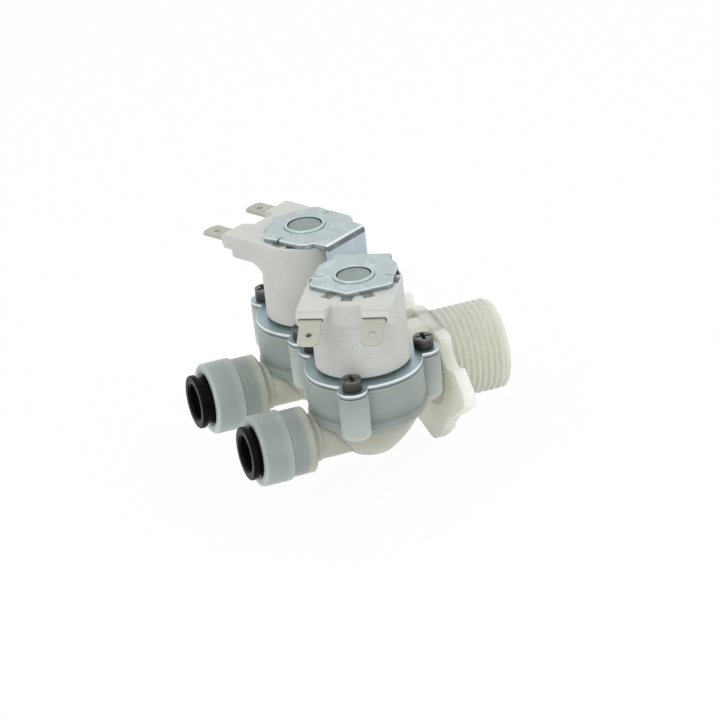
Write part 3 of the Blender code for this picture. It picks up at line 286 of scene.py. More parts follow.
def moulded(name, colour, roughness=0.42, milky=0.1, depth=1.0, stops=None, axis="Z", speck=0.0,
            soft=1.0, gloss=0.5, waver=0.6, lit=()):
    """Moulded plastic: cloudy tone, faint orange peel, and bands along an axis where given.

    Milky plastic lets light in to a depth in millimetres, so that its shading is soft. Lit paints
    light and shade into the tone, as a glow that rises along an axis: it lists (axis, low place,
    high place, factor at the low one, factor at the high). The bands' factors paint light and
    shade too.
    """
    mat, tree, shader = start_material(name)
    tone = bands(tree, axis, stops, waver) if stops else colour
    tone = tinted(tree, tone, remap(tree, noise(tree, 130.0, 4.0), 0.3, 0.7), 0.95, 1.02)
    for way, low, high, at_low, at_high in lit:
        glow = remap(tree, object_axes(tree)[way], low * MM, high * MM)
        tone = tinted(tree, tone, glow, at_low, at_high)
    if speck > 0.0:
        spots = remap(tree, noise(tree, 900.0, 2.0), 0.71, 0.75, 0.0, speck)
        tone = mix_colour(tree, spots, tone, shade(colour, 0.5))
    rough = remap(tree, noise(tree, 420.0, 3.0), 0.25, 0.75, roughness - 0.06, roughness + 0.08)
    feed(shader, Base_Color=tone, Roughness=rough, IOR=1.46, Specular_IOR_Level=gloss,
         Subsurface_Weight=milky, Subsurface_Radius=(1.0, 1.0, 0.9), Subsurface_Scale=depth * MM)
    edge = bpy.context.scene.valve_sizes.edge_round * soft
    surface_normal(tree, shader, noise(tree, 1500.0, 2.0), 0.015 * MM, edge)
    return mat


def plated(name, colour, roughness=0.3, metallic=0.85, stain=0.5, scratch=0.03, stops=None,
           scuff=0.0):
    """Plated steel: clouded plating, fine drawn scratches, duller patches, and bands by height
    that paint highlights and shade.

    Scuff is how strongly pale worn flecks show.
    """
    mat, tree, shader = start_material(name)
    tone = bands(tree, "Z", stops, 0.02) if stops else colour
    clouds = remap(tree, noise(tree, 160.0, 6.0, 0.6), 0.3, 0.72)
    tone = tinted(tree, tone, clouds, 1.0 - 0.16 * stain, 1.03)
    spots = remap(tree, noise(tree, 800.0, 2.0), 0.66, 0.72, 0.0, 0.35 * stain)
    tone = mix_colour(tree, spots, tone, shade(colour, 0.6))
    if scuff > 0.0:
        flecks = remap(tree, noise(tree, 210.0, 9.0, 0.8), 0.53, 0.62, 0.0, scuff)
        tone = mix_colour(tree, flecks, tone, shade(colour, 1.5))
    rough = remap(tree, noise(tree, 260.0, 5.0), 0.3, 0.7, roughness - 0.06, roughness + 0.14)
    feed(shader, Base_Color=tone, Roughness=rough, Metallic=metallic)
    drawn = node(tree, "ShaderNodeMapping", Vector=object_coordinates(tree),
                 Scale=(300.0, 2600.0, 900.0))
    lines = node(tree, "ShaderNodeTexNoise", Vector=drawn.outputs[0], Scale=1.0, Detail=3.0)
    surface_normal(tree, shader, lines.outputs["Fac"], scratch * MM)
    return mat


def plain(name, colour, roughness, metallic=0.0, bump=0.01):
    """Finish of the pieces inside: slightly uneven in tone and roughness."""
    mat, tree, shader = start_material(name)
    clouds = remap(tree, noise(tree, 300.0, 4.0), 0.3, 0.7)
    tone = mix_colour(tree, clouds, shade(colour, 0.9), shade(colour, 1.05))
    rough = remap(tree, noise(tree, 600.0, 3.0), 0.3, 0.7, roughness - 0.05, roughness + 0.08)
    feed(shader, Base_Color=tone, Roughness=rough, Metallic=metallic)
    surface_normal(tree, shader, noise(tree, 1800.0, 2.0), bump * MM)
    return mat


# Surfaces

def heading(degrees):
    """Cosine and sine of an angle."""
    return math.cos(math.radians(degrees)), math.sin(math.radians(degrees))


def full_turn(count):
    """Even angles round a turn, the first of them 0."""
    return np.linspace(0.0, 2.0 * np.pi, count, endpoint=False)


def smooth(value):
    """Soft step: 0 up to 0, 1 from 1 on, and 3 v^2 - 2 v^3 between them."""
    share = np.clip(value, 0.0, 1.0)
    return share * share * (3.0 - 2.0 * share)


def half_chord(radius, offset):
    """Half the chord of a circle at an offset from its middle, and 0 beyond the circle."""
    return np.sqrt(np.clip(radius ** 2 - offset ** 2, 0.0, None))


def fillet(points, closed=False, steps=5):
    """Profile with rounded corners: each point is (a, b) or (a, b, radius).

    At a corner of radius R between two straight runs the curve leaves the first run
    R / tan(half the corner's angle) before the corner and follows a circle to the second.
    """
    points = [(*p, 0.0)[:3] for p in points]
    found = []
    count = len(points)
    for i, (x, y, radius) in enumerate(points):
        here = np.array([x, y])
        ends = not closed and i in (0, count - 1)
        if radius <= 0.0 or ends:
            found.append(here)
            continue
        before = np.array(points[i - 1][:2]) - here
        after = np.array(points[(i + 1) % count][:2]) - here
        la, lb = np.linalg.norm(before), np.linalg.norm(after)
        before, after = before / la, after / lb
        half = math.acos(float(np.clip(before @ after, -1.0, 1.0))) / 2.0
        reach = min(radius / math.tan(half), 0.46 * la, 0.46 * lb)
        share = np.linspace(0.0, 1.0, steps + 1)[:, None]
        start, end = here + before * reach, here + after * reach
        found.append(start + before * min(0.05, 0.03 * la))
        found.extend((1 - share) ** 2 * start + 2 * share * (1 - share) * here + share ** 2 * end)
        found.append(end + after * min(0.05, 0.03 * lb))
    return np.array(found)


def grid(points, wrap_rows=False, wrap_columns=True):
    """Quads over a grid of points, rows by columns, closed round either way."""
    rows, columns = points.shape[:2]
    i = np.arange(rows if wrap_rows else rows - 1)[:, None]
    j = np.arange(columns if wrap_columns else columns - 1)[None, :]
    i2, j2 = (i + 1) % rows, (j + 1) % columns
    faces = np.stack([i * columns + j, i2 * columns + j, i2 * columns + j2, i * columns + j2], -1)
    return points.reshape(-1, 3), faces.reshape(-1, 4)


def polar(radius, turn, height):
    """Points (r cos t, r sin t, h), with radius, turn and height broadcast together."""
    return np.stack(np.broadcast_arrays(radius * np.cos(turn), radius * np.sin(turn), height), -1)


def lathe(profile, steps):
    """Revolve a profile of radius and height about Z."""
    profile = np.asarray(profile, float)
    points = polar(profile[:, :1], full_turn(steps), profile[:, 1:2])
    return grid(points, wrap_rows=profile[0, 0] > 1e-9)


def along_x(shell, y, z, x=0.0):
    """The shell with its axis laid along +X at that y and z."""
    points, faces = shell
    return np.stack([points[:, 2] + x, points[:, 1] + y, z - points[:, 0]], -1), faces


def moved(shell, centre, turn=0.0):
    """The shell turned about Z by degrees and then moved."""
    points, faces = shell
    c, s = heading(turn)
    spun = np.stack([c * points[:, 0] - s * points[:, 1],
                     s * points[:, 0] + c * points[:, 1], points[:, 2]], -1)
    return spun + np.asarray(centre, float), faces


def valve_centre(side):
    return (-SETBACK, HALF_PITCH * SIDES[side], RISE)


def screw_centres(side):
    """Places of a valve's three screws at the foot plate's height."""
    for turn in SCREW_TURNS:
        yield np.array(valve_centre(side)) + SCREW_CIRCLE * np.array([*heading(turn), 0.0])


def star(outline, turns, centre=(0.0, 0.0)):
    """Distance from a centre to a closed outline in each direction.

    For each direction and each edge the crossing solves centre + r * direction on the edge;
    the distance is the largest r over the edges that are crossed.
    """
    outline = np.asarray(outline, float) - centre
    start, edge = outline, np.roll(outline, -1, axis=0) - outline
    dx, dy = np.cos(turns)[:, None], np.sin(turns)[:, None]
    area = dx * edge[:, 1] - dy * edge[:, 0]
    area = np.where(np.abs(area) < 1e-12, 1e-12, area)
    radius = (start[:, 0] * edge[:, 1] - start[:, 1] * edge[:, 0]) / area
    share = (start[:, 0] * dy - start[:, 1] * dx) / area
    valid = (share >= -1e-9) & (share <= 1.0 + 1e-9) & (radius > 0.0)
    return np.where(valid, radius, 0.0).max(axis=1)


def directions(outline, centre=(0.0, 0.0), count=240):
    """Even directions round a centre and those of the outline's own corners."""
    outline = np.asarray(outline, float) - centre
    own = np.arctan2(outline[:, 1], outline[:, 0]) % (2.0 * np.pi)
    return np.unique(np.round(np.concatenate([full_turn(count), own]), 7))


def plate(outer, inner, turns, low, high, edge=0.15, rings=8):
    """Flat plate between two distances from an axis, with rounded edges.

    Each section runs up the inner edge, out over the top by a share of the way, down the
    outer edge and back; a point's distance is inner + share * (outer - inner) + shift.
    """
    bend = np.linspace(0.0, np.pi / 2.0, 4)
    side, rise = edge * (1.0 - np.cos(bend)), edge * (1.0 - np.sin(bend))
    flat = np.linspace(0.0, 1.0, rings + 1)
    inset = np.where(flat < 0.5, edge + 0.04, -edge - 0.04) * ((flat == 0.0) | (flat == 1.0))
    up = np.stack([0.0 * bend, side, high - rise], -1)
    over = np.stack([flat, inset, high + 0.0 * flat], -1)
    down = np.stack([0.0 * bend + 1.0, -side, high - rise], -1)[::-1]
    half = np.concatenate([up, over, down])
    under = half[::-1] * [1.0, 1.0, -1.0] + [0.0, 0.0, low + high]
    share, shift, level = np.concatenate([half, under]).T[..., None]
    radius = inner + share * (outer - inner) + shift
    return grid(polar(radius, turns, level), wrap_rows=True)


def strip(path, width, thickness, edge=0.15):
    """Folded strip: a rounded rectangle carried along a path in the X and Z plane.

    Each section lies across the path, from the normal of its tangent and the Y axis.
    """
    path = np.asarray(path, float)
    tangent = np.gradient(path, axis=0)
    tangent /= np.linalg.norm(tangent, axis=1, keepdims=True)
    normal = np.stack([-tangent[:, 1], tangent[:, 0]], -1)
    half, deep = width / 2.0, thickness / 2.0
    section = fillet([(half, -deep, edge), (-half, -deep, edge), (-half, deep, edge),
                      (half, deep, edge)], closed=True, steps=3)
    across, out = section[:, 0], section[:, 1]
    points = np.stack([path[:, None, 0] + normal[:, None, 0] * out,
                       np.broadcast_to(across, (len(path), len(across))),
                       path[:, None, 1] + normal[:, None, 1] * out], -1)
    caps = [np.broadcast_to(points[end].mean(axis=0), points[:1].shape) for end in (0, -1)]
    return grid(np.concatenate([caps[0], points, caps[1]]))


def piece(name, shells, material, replaces=(), body="valve"):
    """One object from closed shells in millimetres, smooth except at sharp edges."""
    starts = np.cumsum([0] + [len(points) for points, faces in shells])
    points = np.concatenate([points for points, faces in shells]) * MM
    faces = np.concatenate([faces + start for (_, faces), start in zip(shells, starts)])
    mesh = bpy.data.meshes.new(name)
    mesh.from_pydata(points.tolist(), [], faces.tolist())
    work = bmesh.new()
    work.from_mesh(mesh)
    bmesh.ops.remove_doubles(work, verts=work.verts, dist=1e-7)
    bmesh.ops.dissolve_degenerate(work, edges=work.edges, dist=1e-8)
    bmesh.ops.recalc_face_normals(work, faces=work.faces)
    work.to_mesh(mesh)
    work.free()
    mesh.shade_smooth()
    mesh.set_sharp_from_angle(angle=SHARP_ANGLE)
    mesh.materials.append(material)
    obj = bpy.data.objects.new(name, mesh)
    bpy.context.scene.collection.objects.link(obj)
    if body:
        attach(obj, body)
    if replaces:
        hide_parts(*replaces)
    return obj


# The body

def chamber_profile():
    """Wall, groove, bead and bowl outside, and the diaphragm's chamber inside.

    The bowl's radius falls from 14.7 by 8.7 times the 3/2 power of the share of its depth.
    """
    share = np.linspace(0.0, 1.0, 20)
    bowl = [(14.7 - 8.7 * s ** 1.5, -15.0 - 11.5 * s) for s in share]
    inside = [(0.0, -23.6), (4.0, -23.6), (4.0, -8.2), (5.2, -8.2), (6.2, -13.5), (12.0, -13.5),
              (12.0, -8.6), (14.6, -8.6), (14.6, DECK)]
    outside = [(16.9, DECK, 0.3), (16.9, -10.5, 0.5), (16.55, -11.1, 0.4), (16.55, -11.9, 0.4),
               (17.05, -12.6, 0.5), (17.05, -14.4, 0.7), (15.2, -14.95, 0.4)]
    under = [(*bowl[-1], 1.2), (0.0, -26.5)]
    return fillet(inside + outside + bowl[:-1] + under)


def body_bosses():
    """The three screw bosses of each chamber, round and drawn in a little at the foot."""
    boss = fillet([(0.0, DECK), (4.4, DECK, 0.25), (4.3, -9.0, 2.0), (4.15, -14.9, 2.2),
                   (0.0, -14.9)])
    return [moved(lathe(boss, 64), centre) for side in SIDES for centre in screw_centres(side)]


def circle_from(centre, radius, turns):
    """Distance from a point to a circle round the inlet's axis, in each direction."""
    along = centre[0] * np.cos(turns) + centre[1] * np.sin(turns)
    apart = centre[0] ** 2 + centre[1] ** 2
    return np.sqrt(radius ** 2 - apart + along ** 2) - along


def inlet_skin(around, pitch):
    """Inlet, flange and trunk as one skin of rows, from the bore's floor round to the trunk's end.

    All columns lie in directions round one point inside the thread, so that the flange's
    outline is seen from it. On the thread the radius about the inlet's axis follows a rounded
    ridge of the phase x / pitch - t / turn. The ridge fades in over the first half pitch before
    the flange and stops at a chamfer. The trunk is levelled under the yokes: its z is never
    above the deck.
    """
    centre = INLET_CENTRE
    outline = fillet([(y, z, 0.7) for y, z in FLANGE], closed=True, steps=4)
    turns = directions(outline, centre, 3 * around)
    ways = np.stack([np.cos(turns), np.sin(turns)], -1)
    crest = circle_from(centre, THREAD_CREST, turns)
    turn = np.arctan2(centre[0] + crest * ways[:, 0], centre[1] + crest * ways[:, 1])

    def row(x, reach):
        """Row at x whose points lie at a distance from the centre in each direction."""
        spots = centre + np.broadcast_to(reach, turns.shape)[:, None] * ways
        return np.concatenate([np.full((len(turns), 1), x), spots], axis=1)

    def round_row(x, radius):
        return np.stack([x + 0.0 * turn, radius * np.sin(turn), radius * np.cos(turn)], -1)

    rows = [round_row(x, r) for x, r in (
        (INLET_FLOOR, 0.0), (INLET_FLOOR, INLET_BORE), (INLET_FLOOR + 0.05, INLET_BORE),
        (0.0, INLET_BORE), (15.6, INLET_BORE), (15.6, 9.7), (THREAD_END - 0.2, 9.7),
        (THREAD_END, 9.9), (THREAD_END, 11.7))]
    level = np.concatenate([[THREAD_END, THREAD_END - 0.6],
                            np.arange(THREAD_END - 1.2, 0.1, -pitch / 12.0), [0.02]])[:, None]
    phase = (level / pitch - turn / (2.0 * np.pi)) % 1.0
    ridge = smooth(1.32 - 2.64 * np.abs(phase - 0.5) * 1.28)
    fade = np.clip((level - 0.5) / (0.6 * pitch), 0.0, 1.0)
    radius = THREAD_ROOT + (THREAD_CREST - THREAD_ROOT) * (1.0 - fade + fade * ridge)
    radius = np.minimum(radius, THREAD_ROOT + 0.15 + np.clip(THREAD_END - level, 0.0, None))
    rows += [round_row(x, r) for x, r in zip(level[:, 0], radius)]

    outer = star(outline, turns, centre)
    rows += [row(0.0, crest + share * (outer - 0.4 - crest))
             for share in (0.05, 0.3, 0.6, 0.97, 1.0)]
    bend = np.linspace(0.0, np.pi / 2.0, 5)
    drop, inset = FLANGE_ROUND * (1.0 - np.cos(bend)), FLANGE_ROUND * (1.0 - np.sin(bend))
    rows += [row(-d, outer - i) for d, i in zip(drop, inset)]
    rows += [row(FLANGE_BACK + d, outer - i) for d, i in zip(drop[::-1], inset[::-1])]
    trunk = circle_from(centre, TRUNK_RADIUS, turns)
    deck = (RISE + DECK - centre[1]) / np.maximum(np.sin(turns), 1e-6)
    trunk = np.where(np.sin(turns) > 0.0, np.minimum(trunk, deck), trunk)
    rows += [row(FLANGE_BACK, outer - 0.4 + share * (trunk - outer + 0.4))
             for share in (0.0, 0.03, 0.4, 0.7, 0.97, 1.0)]
    rows += [row(x, trunk) for x in (FLANGE_BACK - 0.05, -8.0, -14.0, -20.0, TRUNK_END + 0.5)]
    rows += [row(TRUNK_END, trunk - 0.5), row(TRUNK_END, 0.0)]
    return grid(np.stack(rows))


def build_body(context):
    """Inlet with flange and trunk, chambers, bosses, necks and sockets."""
    sizes, colours = context.scene.valve_sizes, context.scene.valve_colours
    inlet, nylon, chamber, cap = colours.inlet, colours.nylon, colours.chamber, colours.cap
    # Painted light and shade across the radius: the thread's outer part darker against the light
    # its crests catch, and the flange lighter towards its rim, for light through the nylon.
    warm = moulded("nylon_inlet", inlet, 0.5, 1.0, 5.0, [
        (11.9, inlet, 1.02), (12.3, inlet, 0.93), (12.9, inlet, 0.76), (13.3, inlet, 0.73),
        (14.2, inlet), (22.0, inlet, 1.15)], "RADIAL", soft=0.0, gloss=0.25, waver=0.05)
    # Painted shade: the chamber darker in its groove and under its bead, below which the colour
    # turns to the bowl's nylon.
    cool = moulded("nylon_chamber", chamber, 0.4, 1.0, 3.2, [
        (-26.0, nylon, 0.92), (-17.5, nylon, 0.78), (-14.5, chamber, 0.98),
        (-12.4, chamber, 0.84), (-10.4, chamber, 0.86), (-8.5, chamber),
        (-1.6, chamber, 1.02)], soft=3.0, gloss=0.35)
    # Painted light: the bosses lighter towards their lower ends, and the back valve's lighter
    # still, though they lie in the front chamber's shade.
    pillars = moulded("nylon_pillar", chamber, 0.4, 1.0, 2.0, [
        (-15.2, nylon, 1.02), (-12.5, chamber, 1.36), (-7.0, chamber, 1.2),
        (-1.6, chamber, 1.05)], lit=[("Y", -4.0, 5.0, 1.0, 1.3)])
    # Painted light: the back valve's neck lighter than the front one's, as if lit through; along X
    # the tone is darker towards the sockets.
    arms = moulded("nylon_arm", nylon, 0.42, 1.0, 2.5, [
        (-52.0, nylon, 0.86), (-46.0, nylon, 0.84), (-30.0, nylon, 0.9)], "X", soft=2.0,
        lit=[("Y", -20.0, 20.0, 1.0, 1.3)])
    # Painted light: the sockets lighter below and darker on top, the back one lighter than the
    # front; along X the tone turns from the cap's to nylon, with darker bands between.
    pale = moulded("nylon_socket", cap, 0.38, 1.0, 1.8, [
        (-56.0, cap, 0.93), (-54.0, cap, 0.84), (-52.0, cap, 0.88), (-50.2, nylon, 0.8),
        (-47.0, nylon, 0.84)], "X",
        lit=[("Z", -16.0, 4.0, 1.14, 0.9), ("Y", -12.0, 12.0, 1.0, 1.12)])
    around = sizes.around
    chambers = [moved(lathe(chamber_profile(), around), valve_centre(side)) for side in SIDES]
    neck = fillet([(3.7, -30.0), (6.6, -30.0), (6.6, -45.9, 0.1), (6.95, -46.1, 0.1),
                   (6.95, -47.4, 0.3), (9.5, -48.8), (9.5, -50.5), (7.95, -50.5),
                   (7.9, -51.5), (5.15, -51.5), (5.15, -49.5), (3.7, -49.5)], closed=True)
    socket = fillet([(7.9, -50.4), (7.9, -48.5), (9.1, -48.5), (9.6, -48.95, 0.4),
                     (9.6, -55.9, 0.1), (7.9, -55.9, 0.15)], closed=True)
    necks, sockets = ([along_x(lathe(profile, around), HALF_PITCH * sign, OUTLET_Z)
                       for sign in SIDES.values()] for profile in (neck, socket))
    for name, shells, finish in (
            ("body_inlet", [inlet_skin(around, sizes.thread_pitch / MM)], warm),
            ("body_chambers", chambers, cool), ("body_bosses", body_bosses(), pillars),
            ("body_necks", necks, arms), ("body_sockets", sockets, pale)):
        piece(name, shells, finish, ["valve_body"])


def build_outlets(context):
    """Caps and collets, both turned about the outlet axes."""
    sizes, colours = context.scene.valve_sizes, context.scene.valve_colours
    tone = colours.cap
    # Painted light: the caps lighter below and darker on top, the back cap lighter than the front;
    # along X they are lighter at both rims than between them.
    pale = moulded("cap_nylon", tone, 0.38, 1.0, 1.8, [
        (-64.6, tone, 1.1), (-63.0, tone, 0.95), (-59.0, tone, 0.93), (-57.2, tone, 1.04),
        (-55.9, tone, 1.08)], "X",
        lit=[("Z", -16.0, 4.0, 1.24, 0.86), ("Y", -12.0, 12.0, 1.0, 1.2)])
    black = moulded("collet_black", colours.collet, 0.26, 0.0, gloss=0.05)
    cap = fillet([(6.6, -55.5), (7.6, -55.5), (7.6, -55.93), (10.3, -55.93, 0.3),
                  (10.3, -64.6, 1.0), (8.1, -64.6, 0.35), (7.2, -63.7, 0.2), (7.2, -61.5),
                  (8.2, -60.0), (8.2, -57.0), (6.6, -57.0)], closed=True)
    ring = fillet([(5.15, 7.6), (7.6, 7.6), (7.6, 6.4), (6.7, 5.6), (6.7, 0.0, 0.1),
                   (7.8, 0.0, 0.25), (7.8, -1.6, 0.5), (5.7, -1.6, 0.35), (5.15, -0.9, 0.3)],
                  closed=True)
    for side, sign in SIDES.items():
        y = HALF_PITCH * sign
        piece(f"{side}_cap_shell", [along_x(lathe(cap, sizes.around), y, OUTLET_Z)], pale,
              [f"{side}_outlet_cap"])
        piece(f"{side}_collet_ring_shell",
              [along_x(lathe(ring, sizes.around), y, OUTLET_Z, COLLET_START[side])], black,
              [f"{side}_collet"], body=f"{side}_collet_ring")


# The coils

def front_at(across, height):
    """How far the housing's terminal side stands from the axis across the coil, at a height.

    The bulge is a circle of the barrel's radius and the swell. Each tower stands before it
    between two distances across, with rounded edges, and the larger of the two is blended by
    a smooth maximum, so that the tower's inner side runs out softly into the bulge.
    """
    bulge, tower = np.array(BULGE), np.array(TOWER)
    swell = COIL_RADIUS + np.interp(height, bulge[:, 0], bulge[:, 1])
    round_part = half_chord(swell, across)
    away = np.abs(across)
    face = np.interp(height, tower[:, 0], tower[:, 1])
    corner = np.clip(away - (TOWER_OUTER - TOWER_ROUND), 0.0, TOWER_ROUND)
    face = face - TOWER_ROUND + half_chord(TOWER_ROUND, corner)
    ramp = smooth((away - TOWER_INNER + 1.2) / 2.1) * (height > TOWER_FOOT)
    heel = smooth((height - TOWER_FOOT) / 2.6 + (away - TOWER_INNER - 1.6) / 1.2)
    stands = np.maximum(face - round_part, 0.0) * ramp * heel
    slot = (np.abs(away - TAB_ACROSS) < SLOT_HALF) & (height > SLOT_LOW) & (height < SLOT_HIGH)
    return round_part + stands - SLOT_DEPTH * slot


def paired(values, edges, gap=0.012):
    """Sorted values with a close pair on each side of every edge."""
    around = [edge + sign * gap for edge in edges for sign in (-1.0, 1.0)]
    return np.unique(np.concatenate([values, around]))


def housing_outline(height):
    """Outline of the housing at each height: front, flat side, round back, flat side.

    The columns are the same at all heights, so that the rows join into one skin.
    """
    edge = COIL_FLAT - 0.02
    slots = [TAB_ACROSS - SLOT_HALF, TAB_ACROSS + SLOT_HALF]
    across = paired(np.linspace(-edge, edge, 131), [s * e for s in (-1, 1) for e in slots])
    front = front_at(across[None, :], height)
    flat_end = math.sqrt(COIL_RADIUS ** 2 - COIL_FLAT ** 2)
    share = np.concatenate([[0.01], np.linspace(0.0, 1.0, 20)[1:]])[None]
    side = front[:, -1:] + (flat_end - front[:, -1:]) * share
    corner = math.asin(COIL_FLAT / COIL_RADIUS)
    turn = np.linspace(corner, 2.0 * math.pi - corner, 170)[None, 1:-1]
    turn = np.maximum(turn, math.pi / 2.0)
    back = np.stack([COIL_RADIUS * np.cos(turn), COIL_RADIUS * np.sin(turn)], -1)
    ahead = np.stack([front, across + 0.0 * front], -1)
    left = np.stack([side, COIL_FLAT + 0.0 * side], -1)
    right = np.stack([side, -COIL_FLAT + 0.0 * side], -1)[:, ::-1]
    return np.concatenate([ahead, left, np.repeat(back, len(front), axis=0), right], axis=1)


def housing_shell(hidden):
    """The housing's skin, row by row: bore, top with its pockets, side, foot and cavity.

    The pockets at the terminal side lie inward by a distance where the yoke covers them.
    """
    height = paired(np.concatenate([np.linspace(14.0, 24.8, 66), np.linspace(1.2, 13.0, 9)]),
                    [TOWER_FOOT, 20.91, SLOT_LOW, SLOT_HIGH])[::-1, None]
    wall = housing_outline(height)
    rim = housing_outline(np.array([[COIL_TOP]]))
    bend = np.linspace(0.0, np.pi / 2.0, 6)[:, None, None]
    length = np.linalg.norm(rim, axis=-1, keepdims=True)
    lip = rim * (1.0 - LIP_ROUND * (1.0 - np.sin(bend)) / length)
    lip_level = COIL_TOP - LIP_ROUND * (1.0 - np.cos(bend))
    inner = rim * COIL_BORE / length
    share = np.linspace(0.0, 0.995, 60)[:, None, None]
    top = inner + share * (lip[:1] - inner)
    depth = np.zeros(top.shape[:2])
    for angle, near in NOTCHES.items():
        c, s = heading(angle)
        near = near - hidden * (abs(angle) < 60)
        out, aside = top[..., 0] * c + top[..., 1] * s, top[..., 1] * c - top[..., 0] * s
        inside = np.minimum(NOTCH_REACH - np.abs(out - near), NOTCH_HALF - np.abs(aside))
        depth = np.maximum(depth, np.clip(inside / 0.14 + 0.5, 0.0, 1.0) * NOTCH_DEPTH)
    foot = np.concatenate([wall[-1:], wall[-1:] * (1.0 - 0.2 / COIL_RADIUS),
                           rim * CAVITY_RADIUS / length, rim * CAVITY_RADIUS / length, inner])
    below = np.array([COIL_FOOT + 0.1, COIL_FOOT, COIL_FOOT, CAVITY_TOP, CAVITY_TOP])
    level = np.concatenate([lip_level[..., 0], height, below[:, None]])
    levels = np.concatenate([COIL_TOP - depth, level + 0.0 * length[..., 0]])
    rows = np.concatenate([top, lip, wall, foot])
    return grid(np.concatenate([rows, levels[..., None]], -1), wrap_rows=True)


def tab_shell(across, droop):
    """A terminal: a plate round its latch hole, turned down about the slot's mouth."""
    half, reach, hole_back = 3.15, 8.7, 3.8
    hole_at = reach - hole_back
    outline = [(-hole_at - 2.0, -half), (hole_back - 1.15, -half),
               (hole_back - 0.1, -half + 1.35, 0.3), (hole_back, -half + 1.6),
               (hole_back, half - 1.6), (hole_back - 0.1, half - 1.35, 0.3),
               (hole_back - 1.15, half), (-hole_at - 2.0, half)]
    outline = fillet(outline, closed=True, steps=3)
    turns = directions(outline, count=120)
    points, faces = plate(star(outline, turns), np.full(len(turns), 0.85), turns, -0.4, 0.4, 0.12)
    taper = np.clip((points[:, 0] - hole_back + 1.4) / 1.4, 0.0, 1.0)
    points[:, 2] *= 1.0 - 0.45 * taper
    points = points + [hole_at, 0.0, 0.0]
    tilt = math.radians(droop) * np.clip((points[:, 0] + 0.4) / 0.8, 0.0, 1.0)
    out, rise = points[:, 0].copy(), points[:, 2].copy()
    points[:, 0] = TAB_BEND + out * np.cos(tilt) + rise * np.sin(tilt)
    points[:, 2] = TAB_LEVEL + rise * np.cos(tilt) - out * np.sin(tilt)
    points[:, 1] += across
    return points, faces


def build_coils(context):
    """Coil housings and their terminals."""
    colours = context.scene.valve_colours
    white = moulded("coil_white", colours.coil, 0.5, 0.6, 0.8, speck=0.45)
    tin = plated("tinned", colours.tabs, 0.42, 0.55, 0.5, 0.015)
    for side in SIDES:
        centre = valve_centre(side)
        shells = [moved(housing_shell(HIDDEN_BY_YOKE[side]), centre, COIL_TURN[side])]
        piece(f"{side}_coil_shell", shells, white, [f"{side}_coil_housing"])
        for number, across in enumerate((-TAB_ACROSS, TAB_ACROSS), 1):
            tab = moved(tab_shell(across, TAB_DROOP[side]), centre, COIL_TURN[side])
            piece(f"{side}_tab_{number}", [tab], tin, [f"{side}_terminal_{number}"])


# The yokes

def foot_plate():
    """Round foot plate: each direction reaches the disc, an ear's circle or the fold's line."""
    turns = full_turn(360)
    radius = np.full(len(turns), FOOT_RADIUS)
    for ear in SCREW_TURNS:
        away = turns - math.radians(ear)
        aside = SCREW_CIRCLE * np.sin(away)
        reach = SCREW_CIRCLE * np.cos(away) + half_chord(EAR_RADIUS, aside)
        on_ear = (np.cos(away) > 0.0) & (np.abs(aside) < EAR_RADIUS)
        radius = np.where(on_ear, np.maximum(radius, reach), radius)
    fold = FOLD_START / np.maximum(-np.cos(turns), 0.05)
    radius = np.where(np.cos(turns) < 0.0, np.minimum(radius, fold), radius)
    return plate(radius, np.full(len(turns), TUBE_HOLE), turns, -SHEET, 0.0, 0.2)


def top_plate():
    """Top plate: the outline's distance from the axis, with a narrow slit in each side."""
    near = [(-FOLD_START, LEG_WIDTH / 2.0), (-10.7, 8.4, 0.5), (-9.8, 9.9, 0.5),
            (-7.4, 11.3, 0.6), (-2.0, 11.6, 1.0), (2.0, 11.6, 0.3), (4.9, 12.1, 0.8),
            (6.3, 11.0, 0.8)]
    outline = near + [(12.2, 0.0, 1.5)] + [(x, -y, *r) for x, y, *r in reversed(near)]
    outline = fillet(outline, closed=True, steps=5)
    slit_walls = np.concatenate([math.copysign(1.0, s) * np.radians(
        [87.2, 87.3, 87.4, 87.5, 88.5, 89.5, 90.5, 90.6, 90.7, 90.8]) for s in (1.0, -1.0)])
    turns = np.unique(np.round(np.concatenate([directions(outline), slit_walls % (2 * np.pi)]), 7))
    radius = star(outline, turns)
    away = np.abs(radius * np.cos(turns) - 0.25)
    radius = np.where((away < 0.33) & (np.cos(turns) > -0.2), np.minimum(radius, 8.9), radius)
    return plate(radius, np.full(len(turns), 6.0), turns, YOKE_TOP_UNDER, YOKE_TOP, 0.2)


def yoke_leg():
    """Leg and both folds: foot to top along a path with a quarter circle at each end."""
    arcs = []
    for middle, start in ((FOLD_LOW, 270.0), (FOLD_HIGH, 180.0)):
        turn = np.radians(np.linspace(start, start - 90.0, 9))
        arcs.append(np.stack([-FOLD_START + FOLD_RADIUS * np.cos(turn),
                              middle + FOLD_RADIUS * np.sin(turn)], -1))
    outer = -FOLD_START - FOLD_RADIUS
    path = np.concatenate([[(-13.9, -0.65)], arcs[0], [(outer, y) for y in (5.0, 13.0, 21.0)],
                           arcs[1], [(-13.9, 26.35)]])
    return strip(path, LEG_WIDTH, SHEET - 0.01, 0.2)


